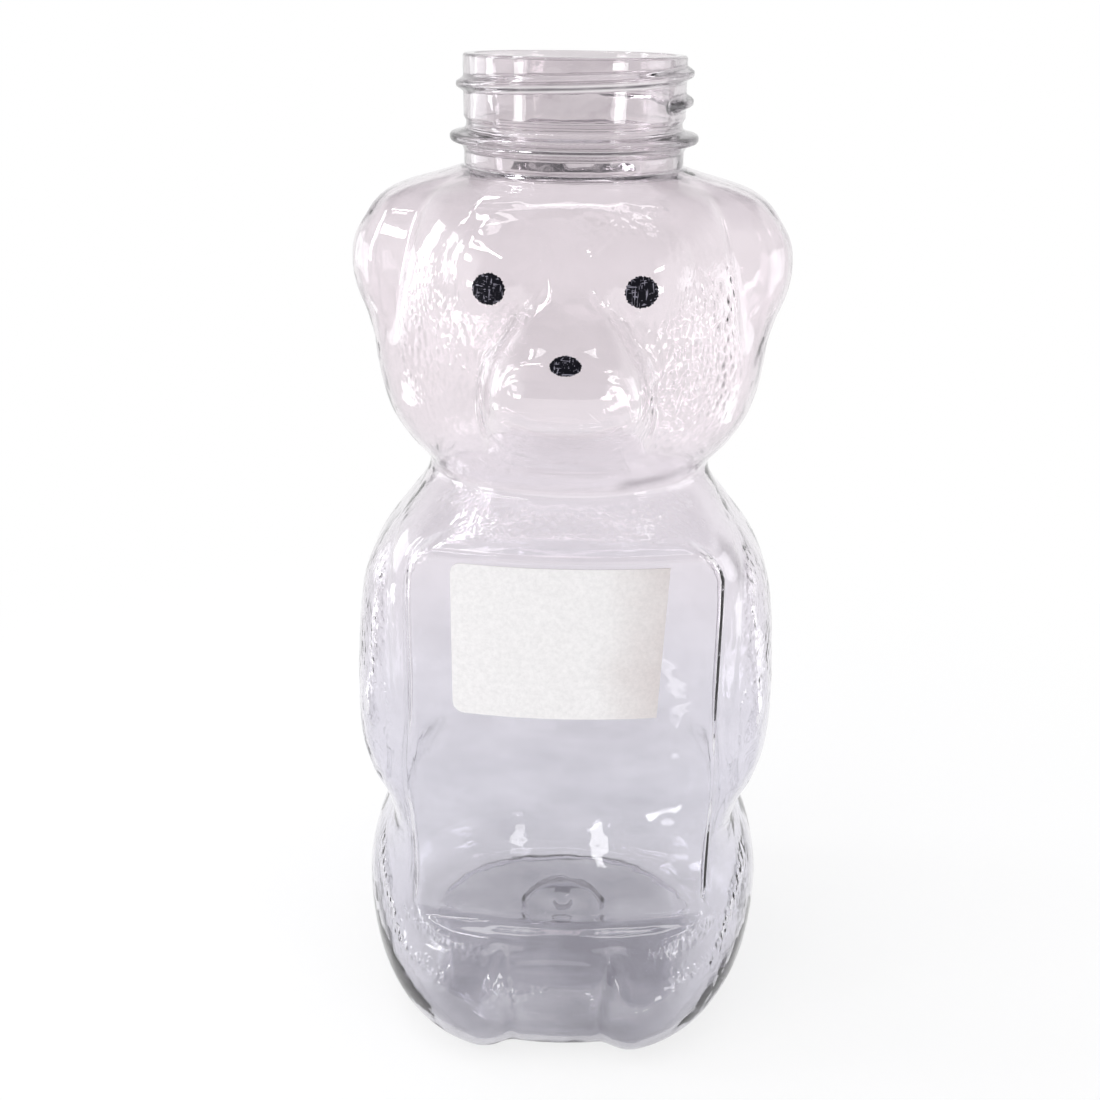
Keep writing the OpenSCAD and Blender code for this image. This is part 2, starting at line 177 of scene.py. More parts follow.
@dataclass(frozen=True)
class ClearPet:
    """Stretch-blown PET: water clear, glossy, with the faint waves that the cooled mould leaves."""

    # Tints for the lower body and the head: the lower ones are bluer and darker, painted reflection and shade from the
    # floor below.
    tint_low: str = "f6f5fa"
    tint_high: str = "fdf8fb"
    base_low: str = "c5c4cb"
    base_high: str = "cdc7ca"
    # Edge tints: painted shade where the wall is seen edge on, darker on the head and darkest on the neck.
    edge_shade_low: str = "e0dee6"
    edge_shade_high: str = "aeaab0"
    edge_shade_neck: str = "77747a"
    absorb: str = "d2d0d3"
    density: float = 70.0
    cloud_mm: float = 11.0
    ior: float = 1.575
    roughness: float = 0.02
    wave_mm: float = 9.0
    hair_mm: float = 1.15
    hair_depth_mm: float = 0.5

    def material(self) -> bpy.types.Material:
        """Builds the material: thin clear wall, with painted shade where it is seen edge on and along the shaded lines.
        """
        made = bpy.data.materials.new("pet_blown_clear")
        made.use_nodes = True
        tree = made.node_tree
        tree.nodes.clear()
        place = add(tree, "ShaderNodeTexCoord").outputs["Object"]
        wave = add(
            tree,
            "ShaderNodeTexNoise",
            {"Vector": place, "Scale": 1 / (self.wave_mm * MM), "Detail": 2.0, "Roughness": 0.4},
        )
        slack = add(tree, "ShaderNodeBump", {"Height": wave.outputs["Fac"], "Strength": 0.3, "Distance": 0.001})
        combed = add(tree, "ShaderNodeMapping", {"Vector": place, "Scale": (1.0, 1.0, 0.72)}).outputs["Vector"]
        cells = add(
            tree,
            "ShaderNodeTexVoronoi",
            {"Vector": combed, "Scale": 1 / (self.hair_mm * MM), "Smoothness": 0.5, "Randomness": 0.85},
            feature="SMOOTH_F1",
        )
        hairs = add(tree, "ShaderNodeMath", {0: 1.0, 1: cells.outputs["Distance"]}, operation="SUBTRACT")
        fur = add(tree, "ShaderNodeAttribute", attribute_name="fur")
        bump = add(
            tree,
            "ShaderNodeBump",
            {
                "Height": hairs.outputs[0],
                "Strength": fur.outputs["Fac"],
                "Distance": self.hair_depth_mm * MM,
                "Normal": slack.outputs["Normal"],
            },
        )
        # Painted shade: the tint darkens where the wall is seen edge on, drawing dark outlines.
        facing = add(tree, "ShaderNodeLayerWeight", {"Blend": 0.35})
        edge_shade_share = add(tree, "ShaderNodeMath", {0: facing.outputs["Facing"], 1: 3.2}, operation="POWER")
        # Painted reflection and shade by height: the tints change from the lower body's to the head's between 50 and
        # 110 mm.
        height = add(tree, "ShaderNodeSeparateXYZ", {"Vector": place}).outputs["Z"]
        high = add(
            tree, "ShaderNodeMapRange", {"Value": height, "From Min": 0.05, "From Max": 0.11}
        ).outputs["Result"]
        thin, full, edge = (
            add(tree, "ShaderNodeMix", {"Factor": high, "A": srgb(low), "B": srgb(top)}, data_type="RGBA").outputs["Result"]
            for low, top in (
                (self.tint_low, self.tint_high),
                (self.base_low, self.base_high),
                (self.edge_shade_low, self.edge_shade_high),
            )
        )
        # Painted shade: the neck's edges take the darkest edge tint.
        moulded = add(tree, "ShaderNodeMapRange", {"Value": height, "From Min": 0.1475, "From Max": 0.1495}).outputs["Result"]
        rim = add(tree, "ShaderNodeMix", {"Factor": moulded, "A": edge, "B": srgb(self.edge_shade_neck)}, data_type="RGBA")
        drawn = add(tree, "ShaderNodeMapping", {"Vector": place, "Scale": (0.7, 1.0, 1.5)}).outputs["Vector"]
        cloud = add(
            tree, "ShaderNodeTexNoise", {"Vector": drawn, "Scale": 1 / (self.cloud_mm * MM), "Detail": 3.0}
        ).outputs["Fac"]
        uneven = add(
            tree,
            "ShaderNodeMapRange",
            {"Value": cloud, "From Min": 0.3, "From Max": 0.7, "To Min": 0.55, "To Max": 1.45},
        ).outputs["Result"]
        # This share tints the wall darker where the plastic is thick, and carries painted shade in creases, the lap and
        # the floor.
        wall_and_painted_shade = add(tree, "ShaderNodeAttribute", attribute_name="wall_and_painted_shade")
        thick_and_shaded = add(
            tree, "ShaderNodeMath", {0: wall_and_painted_shade.outputs["Fac"], 1: uneven}, operation="MULTIPLY", use_clamp=True
        ).outputs[0]
        body = add(tree, "ShaderNodeMix", {"Factor": thick_and_shaded, "A": thin, "B": full}, data_type="RGBA")
        tint = add(
            tree,
            "ShaderNodeMix",
            {"Factor": edge_shade_share.outputs[0], "A": body.outputs["Result"], "B": rim.outputs["Result"]},
            data_type="RGBA",
        )
        skin = add(
            tree,
            "ShaderNodeBsdfPrincipled",
            {
                "Base Color": tint.outputs["Result"],
                "Roughness": self.roughness,
                "IOR": self.ior,
                "Transmission Weight": 1.0,
                "Normal": bump.outputs["Normal"],
            },
        )
        inside = add(
            tree, "ShaderNodeVolumeAbsorption", {"Color": srgb(self.absorb), "Density": self.density}
        )
        add(
            tree,
            "ShaderNodeOutputMaterial",
            {"Surface": skin.outputs["BSDF"], "Volume": inside.outputs["Volume"]},
        )
        return made


@dataclass(frozen=True)
class PadPrintInk:
    """Pad-printed black ink: a thin satin film, broken by the fine strokes of the printing plate."""

    ink: str = "0d0c16"
    gap: str = "8a8794"
    stroke_mm: float = 0.24
    roughness: float = 0.5

    def material(self) -> bpy.types.Material:
        """Builds the material: near-black ink with crossing pale strokes, drawn coarse enough to show."""
        made = bpy.data.materials.new("ink_pad_printed")
        made.use_nodes = True
        tree = made.node_tree
        tree.nodes.clear()
        place = add(tree, "ShaderNodeTexCoord").outputs["Object"]
        strokes = []
        for turn, stretch in ((0.05, (1.0, 1.0, 0.1)), (1.52, (0.1, 1.0, 1.0))):
            turned = add(
                tree,
                "ShaderNodeMapping",
                {"Vector": place, "Rotation": (0.0, turn * 0.05, 0.0), "Scale": stretch},
            )
            noise = add(
                tree,
                "ShaderNodeTexNoise",
                {"Vector": turned.outputs["Vector"], "Scale": 1 / (self.stroke_mm * MM), "Detail": 3.0},
            )
            strokes.append(
                add(
                    tree,
                    "ShaderNodeMapRange",
                    {"Value": noise.outputs["Fac"], "From Min": 0.6, "From Max": 0.66},
                ).outputs["Result"]
            )
        both = add(tree, "ShaderNodeMath", {0: strokes[0], 1: strokes[1]}, operation="MAXIMUM")
        colour = add(
            tree,
            "ShaderNodeMix",
            {"Factor": both.outputs[0], "A": srgb(self.ink), "B": srgb(self.gap)},
            data_type="RGBA",
        )
        bump = add(tree, "ShaderNodeBump", {"Height": both.outputs[0], "Strength": 0.4, "Distance": 0.00005})
        skin = add(
            tree,
            "ShaderNodeBsdfPrincipled",
            {
                "Base Color": colour.outputs["Result"],
                "Roughness": self.roughness,
                "Specular IOR Level": 0.12,
                "Normal": bump.outputs["Normal"],
            },
        )
        add(tree, "ShaderNodeOutputMaterial", {"Surface": skin.outputs["BSDF"]})
        return made


@dataclass(frozen=True)
class UncoatedPaper:
    """Uncoated label paper: white and matt, with soft fibres, turning warm grey towards one side."""

    white: str = "f0eeed"
    shade: str = "d4cbc9"
    fibre_mm: float = 0.7
    roughness: float = 0.85

    def material(self) -> bpy.types.Material:
        """Builds the material: fibre grain in colour and height, and warm grey towards the cut edge."""
        made = bpy.data.materials.new("paper_uncoated_label")
        made.use_nodes = True
        tree = made.node_tree
        tree.nodes.clear()
        place = add(tree, "ShaderNodeTexCoord").outputs["Object"]
        fibre = add(
            tree,
            "ShaderNodeTexNoise",
            {"Vector": place, "Scale": 1 / (self.fibre_mm * MM), "Detail": 6.0, "Roughness": 0.7},
        )
        cloud = add(tree, "ShaderNodeTexNoise", {"Vector": place, "Scale": 90.0, "Detail": 3.0})
        across = add(tree, "ShaderNodeSeparateXYZ", {"Vector": place})
        drift = add(
            tree, "ShaderNodeMath", {0: cloud.outputs["Fac"], 1: 0.012, 2: across.outputs["X"]}, operation="MULTIPLY_ADD"
        )
        side = add(
            tree,
            "ShaderNodeMapRange",
            {"Value": drift.outputs[0], "From Min": 0.010, "From Max": 0.024, "To Max": 0.85},
            interpolation_type="SMOOTHSTEP",
        )
        base = add(
            tree,
            "ShaderNodeMix",
            {"Factor": side.outputs["Result"], "A": srgb(self.white), "B": srgb(self.shade)},
            data_type="RGBA",
        )
        grain = add(
            tree,
            "ShaderNodeMapRange",
            {"Value": fibre.outputs["Fac"], "From Min": 0.3, "From Max": 0.7, "To Min": 0.9, "To Max": 1.04},
        )
        colour = add(
            tree,
            "ShaderNodeMix",
            {"Factor": 1.0, "A": base.outputs["Result"], "B": grain.outputs["Result"]},
            data_type="RGBA",
            blend_type="MULTIPLY",
        )
        bump = add(tree, "ShaderNodeBump", {"Height": fibre.outputs["Fac"], "Strength": 0.35, "Distance": 0.00008})
        skin = add(
            tree,
            "ShaderNodeBsdfPrincipled",
            {
                "Base Color": colour.outputs["Result"],
                "Roughness": self.roughness,
                "Normal": bump.outputs["Normal"],
            },
        )
        add(tree, "ShaderNodeOutputMaterial", {"Surface": skin.outputs["BSDF"]})
        return made


@dataclass(frozen=True)
class AcrylicAdhesive:
    """Pressure-sensitive acrylic adhesive: a soft, slightly yellow layer with small wet-out patches."""

    wet: str = "e9e4d6"
    dry: str = "f2efe8"
    patch_mm: float = 2.5
    roughness: float = 0.3

    def material(self) -> bpy.types.Material:
        """Builds the material: wet and dry patches where the paper did and didn't press flat."""
        made = bpy.data.materials.new("adhesive_acrylic_film")
        made.use_nodes = True
        tree = made.node_tree
        tree.nodes.clear()
        place = add(tree, "ShaderNodeTexCoord").outputs["Object"]
        patch = add(
            tree,
            "ShaderNodeTexNoise",
            {"Vector": place, "Scale": 1 / (self.patch_mm * MM), "Detail": 4.0},
        )
        share = add(
            tree,
            "ShaderNodeMapRange",
            {"Value": patch.outputs["Fac"], "From Min": 0.42, "From Max": 0.6},
        )
        colour = add(
            tree,
            "ShaderNodeMix",
            {"Factor": share.outputs["Result"], "A": srgb(self.wet), "B": srgb(self.dry)},
            data_type="RGBA",
        )
        skin = add(
            tree,
            "ShaderNodeBsdfPrincipled",
            {"Base Color": colour.outputs["Result"], "Roughness": self.roughness},
        )
        add(tree, "ShaderNodeOutputMaterial", {"Surface": skin.outputs["BSDF"]})
        return made


# The moulded form


class Cut(Enum):
    """Which way a moulded line goes."""

    GROOVE = -1
    RIDGE = 1


@dataclass(frozen=True)
class MouldLine:
    """A soft line in the mould along a path on the outside, and painted shade along it where shade is set.

    The path's points are millimetres round the body from the middle line, on a 33 mm radius, and heights.
    """

    name: str
    path: tuple[tuple[float, float], ...]
    depth: float
    width: float
    cut: Cut = Cut.GROOVE
    mirrored: bool = True
    beads: float = 0.0
    # How dark the painted shade along the line is.
    shade: float = 0.0

    def reach(self, s: np.ndarray, z: np.ndarray) -> tuple[np.ndarray, np.ndarray]:
        """How far places are from the line, and where along it their nearest point lies.

        Args:
            s: distance round the body in millimetres.
            z: heights in millimetres.

        Returns:
            Millimetres away, and a share that goes from 0 to 1 along the line.
        """
        s = np.abs(s) if self.mirrored else s
        knots = np.array(self.path, float)
        t = np.linspace(0, len(knots) - 1, 8 * (len(knots) - 1) + 1)
        rows = np.column_stack([np.arange(len(knots)), knots])
        xs, zs = along(rows, t)
        best = np.full(s.shape, 1e9)
        where = np.zeros(s.shape)
        for i in range(len(xs) - 1):
            dx, dz = xs[i + 1] - xs[i], zs[i + 1] - zs[i]
            share = np.clip(((s - xs[i]) * dx + (z - zs[i]) * dz) / (dx * dx + dz * dz), 0, 1)
            far = np.hypot(s - xs[i] - share * dx, z - zs[i] - share * dz)
            nearer = far < best
            best = np.where(nearer, far, best)
            where = np.where(nearer, (i + share) / (len(xs) - 1), where)
        return best, where

    def height_at(self, s: np.ndarray, z: np.ndarray) -> np.ndarray:
        """How far the line lifts the surface in millimetres, negative for a groove."""
        best, where = self.reach(s, z)
        fade = ease(0, 0.16, where) * (1 - ease(0.84, 1, where)) * 0.85 + 0.15
        return self.cut.value * self.depth * fade * np.exp(-((best / self.width) ** 2))


@dataclass(frozen=True)
class BearForm:
    """The outside of the blown body as a radius for each angle and height, in millimetres."""

    waist_z: float = 31.5
    crease_z: float = 98.6
    neck_z: float = 148.6
    heel_h: float = 9.0
    heel_inset: float = 8.9
    stand_w: float = 2.4
    heel_back: float = 3.2
    foot_bulge: float = 3.55
    foot_inner: float = 30.8
    foot_inner_w: float = 15.6
    foot_outer: float = 20.5
    foot_outer_w: float = 47.0
    panel_w: float = 53.0
    panel_front: float = 30.5
    panel_curve: float = 90.0
    panel_corner: float = 6.0
    panel_step: float = 1.8
    panel_step_right: float = 3.0
    panel_rim: float = 0.25
    trim: float = 0.06
    panel_lo: float = 22.6
    panel_hi: float = 93.0
    muzzle_bulge: float = 9.2
    lip_bulge: float = 0.8
    eye_bulge: float = 1.7
    eye_x: float = 11.3
    eye_z: float = 133.4
    ear_bulge: float = 6.0
    arm_bulge: float = 5.4
    lines: tuple[MouldLine, ...] = ()
    body: np.ndarray = field(
        default_factory=lambda: np.array(
            [
                [0, 35.4, 40.6, 26.6, 2.25, 2.2],
                [6, 36.3, 38.3, 27.4, 2.28, 2.3],
                [13, 37.1, 37.6, 28.0, 2.36, 2.4],
                [20, 37.1, 34.4, 28.0, 2.5, 2.5],
                [26, 35.9, 30.9, 27.6, 2.75, 2.6],
                [31.5, 33.3, 29.4, 27.2, 3.3, 2.6],
                [38, 30.7, 29.0, 27.2, 4.2, 2.6],
                [66, 32.5, 29.0, 27.4, 3.5, 2.6],
                [78, 33.0, 29.0, 27.2, 3.5, 2.6],
                [86, 31.2, 28.8, 26.4, 3.8, 2.6],
                [92, 27.9, 27.6, 24.4, 4.0, 2.45],
                [96, 25.3, 23.8, 22.0, 2.8, 2.25],
                [98.6, 24.3, 20.6, 21.2, 2.15, 2.15],
                [101, 24.6, 21.6, 22.0, 2.15, 2.15],
                [105, 27.9, 24.0, 24.2, 2.2, 2.2],
                [110, 30.8, 26.0, 26.0, 2.2, 2.2],
                [118, 32.5, 27.2, 27.2, 2.2, 2.2],
                [126, 31.9, 27.6, 27.6, 2.2, 2.2],
                [134, 30.5, 26.8, 27.0, 2.2, 2.2],
                [140, 28.6, 24.8, 25.2, 2.2, 2.2],
                [144.6, 25.8, 21.8, 22.0, 2.1, 2.1],
                [147.2, 19.7, 18.5, 18.7, 2.0, 2.0],
                [148.6, 17.1, 17.1, 17.1, 2.0, 2.0],
            ]
        )
    )

    def limbs(self, a: np.ndarray, z: np.ndarray) -> np.ndarray:
        """Body, arms, ears and feet at an angle from the front and a height."""
        half, reach_front, reach_back, n_front, n_back = along(self.body, z)
        s, c = np.abs(np.sin(np.radians(a))), np.cos(np.radians(a))
        n = np.where(c > 0, n_front, n_back)
        r = ((s / half) ** n + (np.abs(c) / np.where(c > 0, reach_front, reach_back)) ** n) ** (-1 / n)
        arm_rows = np.array(
            [
                [36, 0, 0], [39, 0.19, 0], [42, 0.37, 0], [46, 0.74, 0], [52, 1, 0], [60, 0.95, 0],
                [68, 0.79, 0], [76, 0.58, 0], [83, 0.42, 0], [89, 0.14, 0], [94, 0, 0],
            ]
        )
        ear_rows = np.array(
            [
                [117, 0, 0], [121, 0.07, 0], [125, 0.33, 0], [129, 0.68, 0], [133, 0.91, 0], [137, 1, 0],
                [141, 0.88, 0], [144, 0.7, 0], [146.5, 0.42, 0], [148.6, 0, 0],
            ]
        )
        r = r + self.arm_bulge * along(arm_rows, z)[0] * dome((a - 76 - 12 * ease(45, 80, z)) / 30)
        r = r + self.ear_bulge * along(ear_rows, z)[0] * dome((a - 93) / 24)
        inner = np.where(a < self.foot_inner, dome((a - self.foot_inner) / self.foot_inner_w, 8), 1)
        outer = np.cos(np.pi / 2 * np.clip((a - self.foot_outer) / self.foot_outer_w, 0, 1)) ** 2
        return r + self.foot_bulge * dome((z - 6.5) / 10.5) * inner * outer

    def heel_in(self, th: np.ndarray) -> np.ndarray:
        """How far the standing ring lies inside the wall, less at the back than at the front."""
        return self.heel_inset - self.heel_back * ease(60, 150, np.abs(th))

    def face(self, x: np.ndarray, z: np.ndarray) -> np.ndarray:
        """Muzzle, snout and the swell of each eye, by the distance from the middle line."""
        rows = np.array(
            [
                [103.5, 0, 12.6], [108, 0.36, 13.2], [113, 0.84, 14.0], [118, 1, 14.0],
                [123, 0.93, 12.6], [127, 0.61, 9.6], [131, 0.28, 7.2], [137, 0, 5.6],
            ]
        )
        swell, half = along(rows, z)
        muzzle = self.muzzle_bulge * swell * np.clip(1 - (np.abs(x) / half) ** 2.6, 0, 1) ** 1.2
        lip = np.hypot(x / 10.4, (z - 117.6) / 4.6)
        d = np.hypot((np.abs(x) - self.eye_x) / 7.6, (z - self.eye_z - 2.2) / 7)
        return (
            muzzle
            + self.lip_bulge * np.clip(1 - lip**2.4, 0, 1)
            + self.eye_bulge * np.clip(1 - d * d, 0, 1) ** 0.8
        )

    def panel(self, th: np.ndarray, z: np.ndarray) -> tuple[np.ndarray, np.ndarray, np.ndarray]:
        """The front panel's radius, its share (1 on the panel, 0 beside it) and the groove round its rim."""
        back = self.panel_curve - self.panel_front
        s, c = np.sin(np.radians(th)), np.cos(np.radians(th))
        step = self.panel_step + (self.panel_step_right - self.panel_step) * ease(15, 30, -th)
        r = np.sqrt(np.maximum(self.panel_curve**2 - (back * s) ** 2, 0)) - back * c
        x = np.abs(r * s) - self.panel_w / 2 + self.panel_corner
        h = np.abs(z - (self.panel_lo + self.panel_hi) / 2) - (self.panel_hi - self.panel_lo) / 2 + self.panel_corner
        d = np.hypot(np.maximum(x, 0), np.maximum(h, 0)) + np.minimum(np.maximum(x, h), 0) - self.panel_corner
        share = np.where(c > 0.2, 1 - ease(-step / 2, step / 2, d), 0)
        rim = np.where(c > 0.2, self.panel_rim * np.exp(-(((d - step / 2) / 0.8) ** 2)), 0)
        return r, share, rim

    def radius(self, th: np.ndarray, z: np.ndarray) -> np.ndarray:
        """Radius of the whole outside.

        Args:
            th: angles from the front in degrees, positive towards the bear's left.
            z: heights in millimetres.

        Returns:
            Radii about the neck axis in millimetres.
        """
        th, z = np.broadcast_arrays(np.asarray(th, float), np.asarray(z, float))
        a = np.abs(th)
        r = self.limbs(a, z)
        ahead = np.cos(np.radians(a)) > 0
        x = r * np.sin(np.radians(th))
        r = r + np.where(ahead, self.face(x, z), 0)
        s = np.radians(th) * 33
        for line in self.lines:
            r = r + line.height_at(s, z)
        sheet, share, rim = self.panel(th, z)
        return r + (sheet - r) * share - rim - self.trim

    def point(self, th: np.ndarray, z: np.ndarray) -> np.ndarray:
        """Points of the outside in the part's own frame, in millimetres."""
        th, z = np.broadcast_arrays(np.asarray(th, float), np.asarray(z, float))
        return self.turned(self.radius(th, z), th, z)

    def turned(self, r: np.ndarray, th: np.ndarray, z: np.ndarray) -> np.ndarray:
        """Points at a radius, an angle and a height about the neck axis."""
        r, th, z = np.broadcast_arrays(np.asarray(r, float), np.asarray(th, float), np.asarray(z, float))
        t = np.radians(th)
        return np.stack([r * np.sin(t), NECK_Y - r * np.cos(t), z], -1)

    def normal(self, th: np.ndarray, z: np.ndarray, step: float = 0.2) -> np.ndarray:
        """Outward directions of the outside at angles and heights."""
        round_it = self.point(th + step, z) - self.point(th - step, z)
        up = self.point(th, z + step) - self.point(th, z - step)
        n = np.cross(round_it, up)
        return n / np.linalg.norm(n, axis=-1, keepdims=True)


@dataclass
class BlownShell:
    """The bottle itself: blown body and moulded neck as one closed wall of clear plastic."""

    form: BearForm
    finish: ClearPet
    wall: float = 0.6
    floor_wall: float = 2.2
    half_columns: int = 150
    body_rows: int = 180
    inner_rows: int = 108
    bore_r: float = 15.75
    neck_r: float = 17.6
    rim_z: float = 165.2
    thread_pitch: float = 4.23
    thread_start_z: float = 158.0
    thread_start_turn: float = 0.145
    thread_turns: float = 1.16
    thread_crest: float = 1.15
    fur_depth: float = 0.14
    tuft_w: float = 1.8
    tuft_h: float = 2.6
    wave_depth: float = 0.16
    wave_size: float = 11.0

    def columns(self) -> np.ndarray:
        """Angles of the mesh, closer together on the face and at the panel's edges."""
        half = spaced(0, 180, self.half_columns + 1, ((44.4, 3, 1.2), (13.5, 2, 0.8), (28, 36, 1.2), (72, 26, 1.0)))
        return np.concatenate([half, -half[-2:0:-1]])

    def floor_profile(self) -> np.ndarray:
        """Radius and height of the push-up in the middle of the floor, from its boss outwards."""
        return np.array(
            [
                [0.8, 3.32], [1.5, 3.36], [1.9, 3.6], [2.2, 4.0], [2.6, 4.18], [3.4, 4.2], [4.6, 4.2],
                [5.6, 4.14], [6.4, 3.86], [7.1, 3.3], [7.7, 2.75], [8.2, 2.48],
            ]
        )

    def lower_rows(self, th: np.ndarray, fine: bool) -> list[np.ndarray]:
        """Rings of the floor, the standing ring and the heel, from the middle outwards."""
        f = self.form
        rows = [f.turned(r, th, z) for r, z in self.floor_profile()[:: 1 if fine else 2]]
        base = f.radius(th, 0.0) - f.heel_in(th) - f.stand_w
        shares = (0.97, 0.8, 0.6, 0.4, 0.26, 0.2, 0.14, 0.09, 0.05, 0.02, 0) if fine else (0.8, 0.5, 0.25, 0.14, 0.06, 0)
        for t in shares:
            rows.append(
                f.turned(base + (8.2 - base) * t, th, 2.4 * math.sin(math.radians(90 * min(4 * t, 1))))
            )
        turns = np.linspace(0, 1, 15 if fine else 9)[:-1]
        for t in turns:
            z = f.heel_h * (1 - math.cos(math.radians(90 * t)))
            inset = f.heel_in(th) * (1 - math.sin(math.radians(90 * t)))
            rows.append(f.turned(f.radius(th, z) - inset, th, z))
        return rows

    def body_heights(self, count: int) -> np.ndarray:
        """Heights of the body's rings, closer together where the form turns quickly."""
        return spaced(
            self.form.heel_h,
            self.form.neck_z - 0.4,
            count,
            ((22.4, 1.6, 2.2), (93, 2.2, 1.6), (98.6, 3.5, 0.9), (124, 18, 1.1), (147, 3, 1.4), (16, 7, 0.9), (58, 16, 0.25)),
        )

    def neck_profile(self) -> list[tuple[float, float, float]]:
        """Radius, height and thread share of the neck's outside, from its foot up over the rim."""
        rows = [
            (17.25, 148.45, 0), (17.5, 148.6, 0), (17.6, 148.9, 0), (17.6, 150.4, 0), (17.66, 150.9, 0),
            (17.9, 151.4, 0), (18.4, 151.8, 0), (19.1, 152.0, 0), (19.6, 152.2, 0), (19.82, 152.5, 0),
            (19.85, 152.8, 0), (19.82, 153.1, 0), (19.6, 153.4, 0), (19.1, 153.6, 0), (18.3, 153.75, 0),
            (17.6, 154.0, 0), (17.25, 154.4, 0), (17.2, 154.9, 0), (17.25, 155.3, 0), (17.45, 155.6, 0),
            (17.6, 155.9, 0),
        ]
        rows += [(self.neck_r, z, 1) for z in np.arange(156.1, 164.75, 0.23)]
        rows += [
            (17.58, 164.88, 0), (17.5, 165.03, 0), (17.36, 165.14, 0), (17.15, 165.2, 0), (16.5, 165.2, 0),
            (15.98, 165.2, 0), (15.84, 165.13, 0), (15.76, 164.98, 0), (15.75, 164.7, 0),
        ]
        return rows

    def bore_profile(self) -> list[tuple[float, float]]:
        """Radius and height of the bore, from under the rim down to the blown wall."""
        return [(15.75, z) for z in (161.5, 158.0, 154.5, 151.5, 149.2, 148.6)] + [(15.8, 148.35), (16.0, 148.2), (16.4, 148.1)]

    def inner_skin(self, th: np.ndarray) -> list[np.ndarray]:
        """The inside of the blown wall, from the neck down to the middle of the floor."""
        lower = self.lower_rows(th, fine=False)
        heights = self.body_heights(self.inner_rows)[:-1]
        rows = np.array(lower + [self.form.point(th, z) for z in heights])
        up = np.gradient(rows, axis=0)
        across = np.roll(rows, -1, axis=1) - np.roll(rows, 1, axis=1)
        n = np.cross(across, up)
        n /= np.linalg.norm(n, axis=-1, keepdims=True)
        centre = np.hypot(rows[..., 0], rows[..., 1] - NECK_Y)
        low = 1 - ease(3, 16, rows[..., 2])
        thick = self.wall + (self.floor_wall - self.wall) * low * (1 - 0.7 * ease(10, 34, centre))
        rows = rows - n * thick[..., None]
        return list(rows[::-1])

    def mesh(self) -> bpy.types.Object:
        """Builds the closed wall, with the shares that the relief trees read."""
        th = self.columns()
        half = th[::2]
        f = self.form
        rows = self.lower_rows(th, fine=True)
        rows += [f.point(th, z) for z in self.body_heights(self.body_rows)]
        outer = len(rows)
        thread = [0.0] * outer
        for r, z, share in self.neck_profile():
            rows.append(f.turned(r, half, z))
            thread.append(float(share))
        neck = len(rows)
        rows += [f.turned(r, half, z) for r, z in self.bore_profile()]
        rows += self.inner_skin(half)
        thread += [0.0] * (len(rows) - len(thread))
        sizes = [len(row) for row in rows]
        starts = np.concatenate([[0], np.cumsum(sizes)]).tolist()
        points = np.concatenate([np.concatenate(rows), [[0, NECK_Y, 3.3], [0, NECK_Y, 3.3 + self.floor_wall]]])
        faces = []
        for k in range(len(rows) - 1):
            a, b, n, m = starts[k], starts[k + 1], sizes[k], sizes[k + 1]
            if n == m:
                faces += [[a + j, a + (j + 1) % n, b + (j + 1) % n, b + j] for j in range(n)]
                continue
            for j in range(m):
                faces.append([a + 2 * j, a + 2 * j + 1, b + j])
                faces.append([a + 2 * j + 1, a + (2 * j + 2) % n, b + (j + 1) % m, b + j])
        n, m, last = sizes[0], sizes[-1], starts[-2]
        faces += [[starts[-1], (i + 1) % n, i] for i in range(n)]
        faces += [[starts[-1] + 1, last + i, last + (i + 1) % m] for i in range(m)]
        piece = mesh_piece("bottle_clear_shell", points, faces)
        x, y, z = points.T
        turn = np.degrees(np.arctan2(x, NECK_Y - y))
        skin = np.arange(len(points)) < starts[outer]
        within = (np.arange(len(points)) >= starts[neck]) & (np.arange(len(points)) < starts[-1])
        side = np.where(within, -1.0, 1.0)
        values = {
            "thread_band": np.concatenate([np.repeat(thread, sizes), [0, 0]]),
            "fur": np.where(skin, self.fur_share(turn, z), 0),
            "blown": ease(2, 12, z) * (1 - ease(141, 147, z)) * side,
            "wall_and_painted_shade": self.wall_and_shade_share(turn, z, np.hypot(x, y - NECK_Y)),
        }
        for name, given in values.items():
            data = piece.data.attributes.new(name, "FLOAT", "POINT").data
            data.foreach_set("value", given.astype(np.float32))
        return piece

    def fur_share(self, th: np.ndarray, z: np.ndarray) -> np.ndarray:
        """Where the mould carries fur: cheeks, brow and crown, the arms' outer strips, the chest and the legs."""
        a, s = np.abs(th), np.radians(th) * 33
        cheek = dome((a - 41) / 16) * dome((z - 124.5) / 12.5) * (0.45 + 0.55 * ease(-10, 10, th))
        crown = 0.35 * dome((th - 18) / 16) * dome((z - 141) / 4)
        arms = dome((a - 78) / 15) * dome((z - 64) / 20)
        chest = dome(a / 42) * dome((z - 95.6) / 2.2)
        face = np.clip(cheek + crown, 0, 1) * ease(5.0, 8.5, np.hypot((a - 21) * 0.55, z - 134.5))
        share = np.clip(face + 0.22 * arms + 0.4 * chest, 0, 1)
        for line in self.form.lines:
            if line.beads:
                share = np.maximum(share, line.beads * np.exp(-((line.reach(s, z)[0] / line.width) ** 2)))
        return share

    def wall_and_shade_share(self, th: np.ndarray, z: np.ndarray, away: np.ndarray) -> np.ndarray:
        """How much plastic lies in the wall: much in floor and heel, more in the neck, least in arms and chin, with
        painted shade added in the lap, along the shade lines and on the floor.
        """
        a = np.abs(th)
        arms = dome((a - 80) / 20) * dome((z - 62) / 26)
        chin = dome(a / 60) * dome((z - 106) / 12)
        share = 0.17 - 0.14 * arms - 0.16 * chin + 0.27 * dome(a / 42) * (1 - ease(60, 95, z))
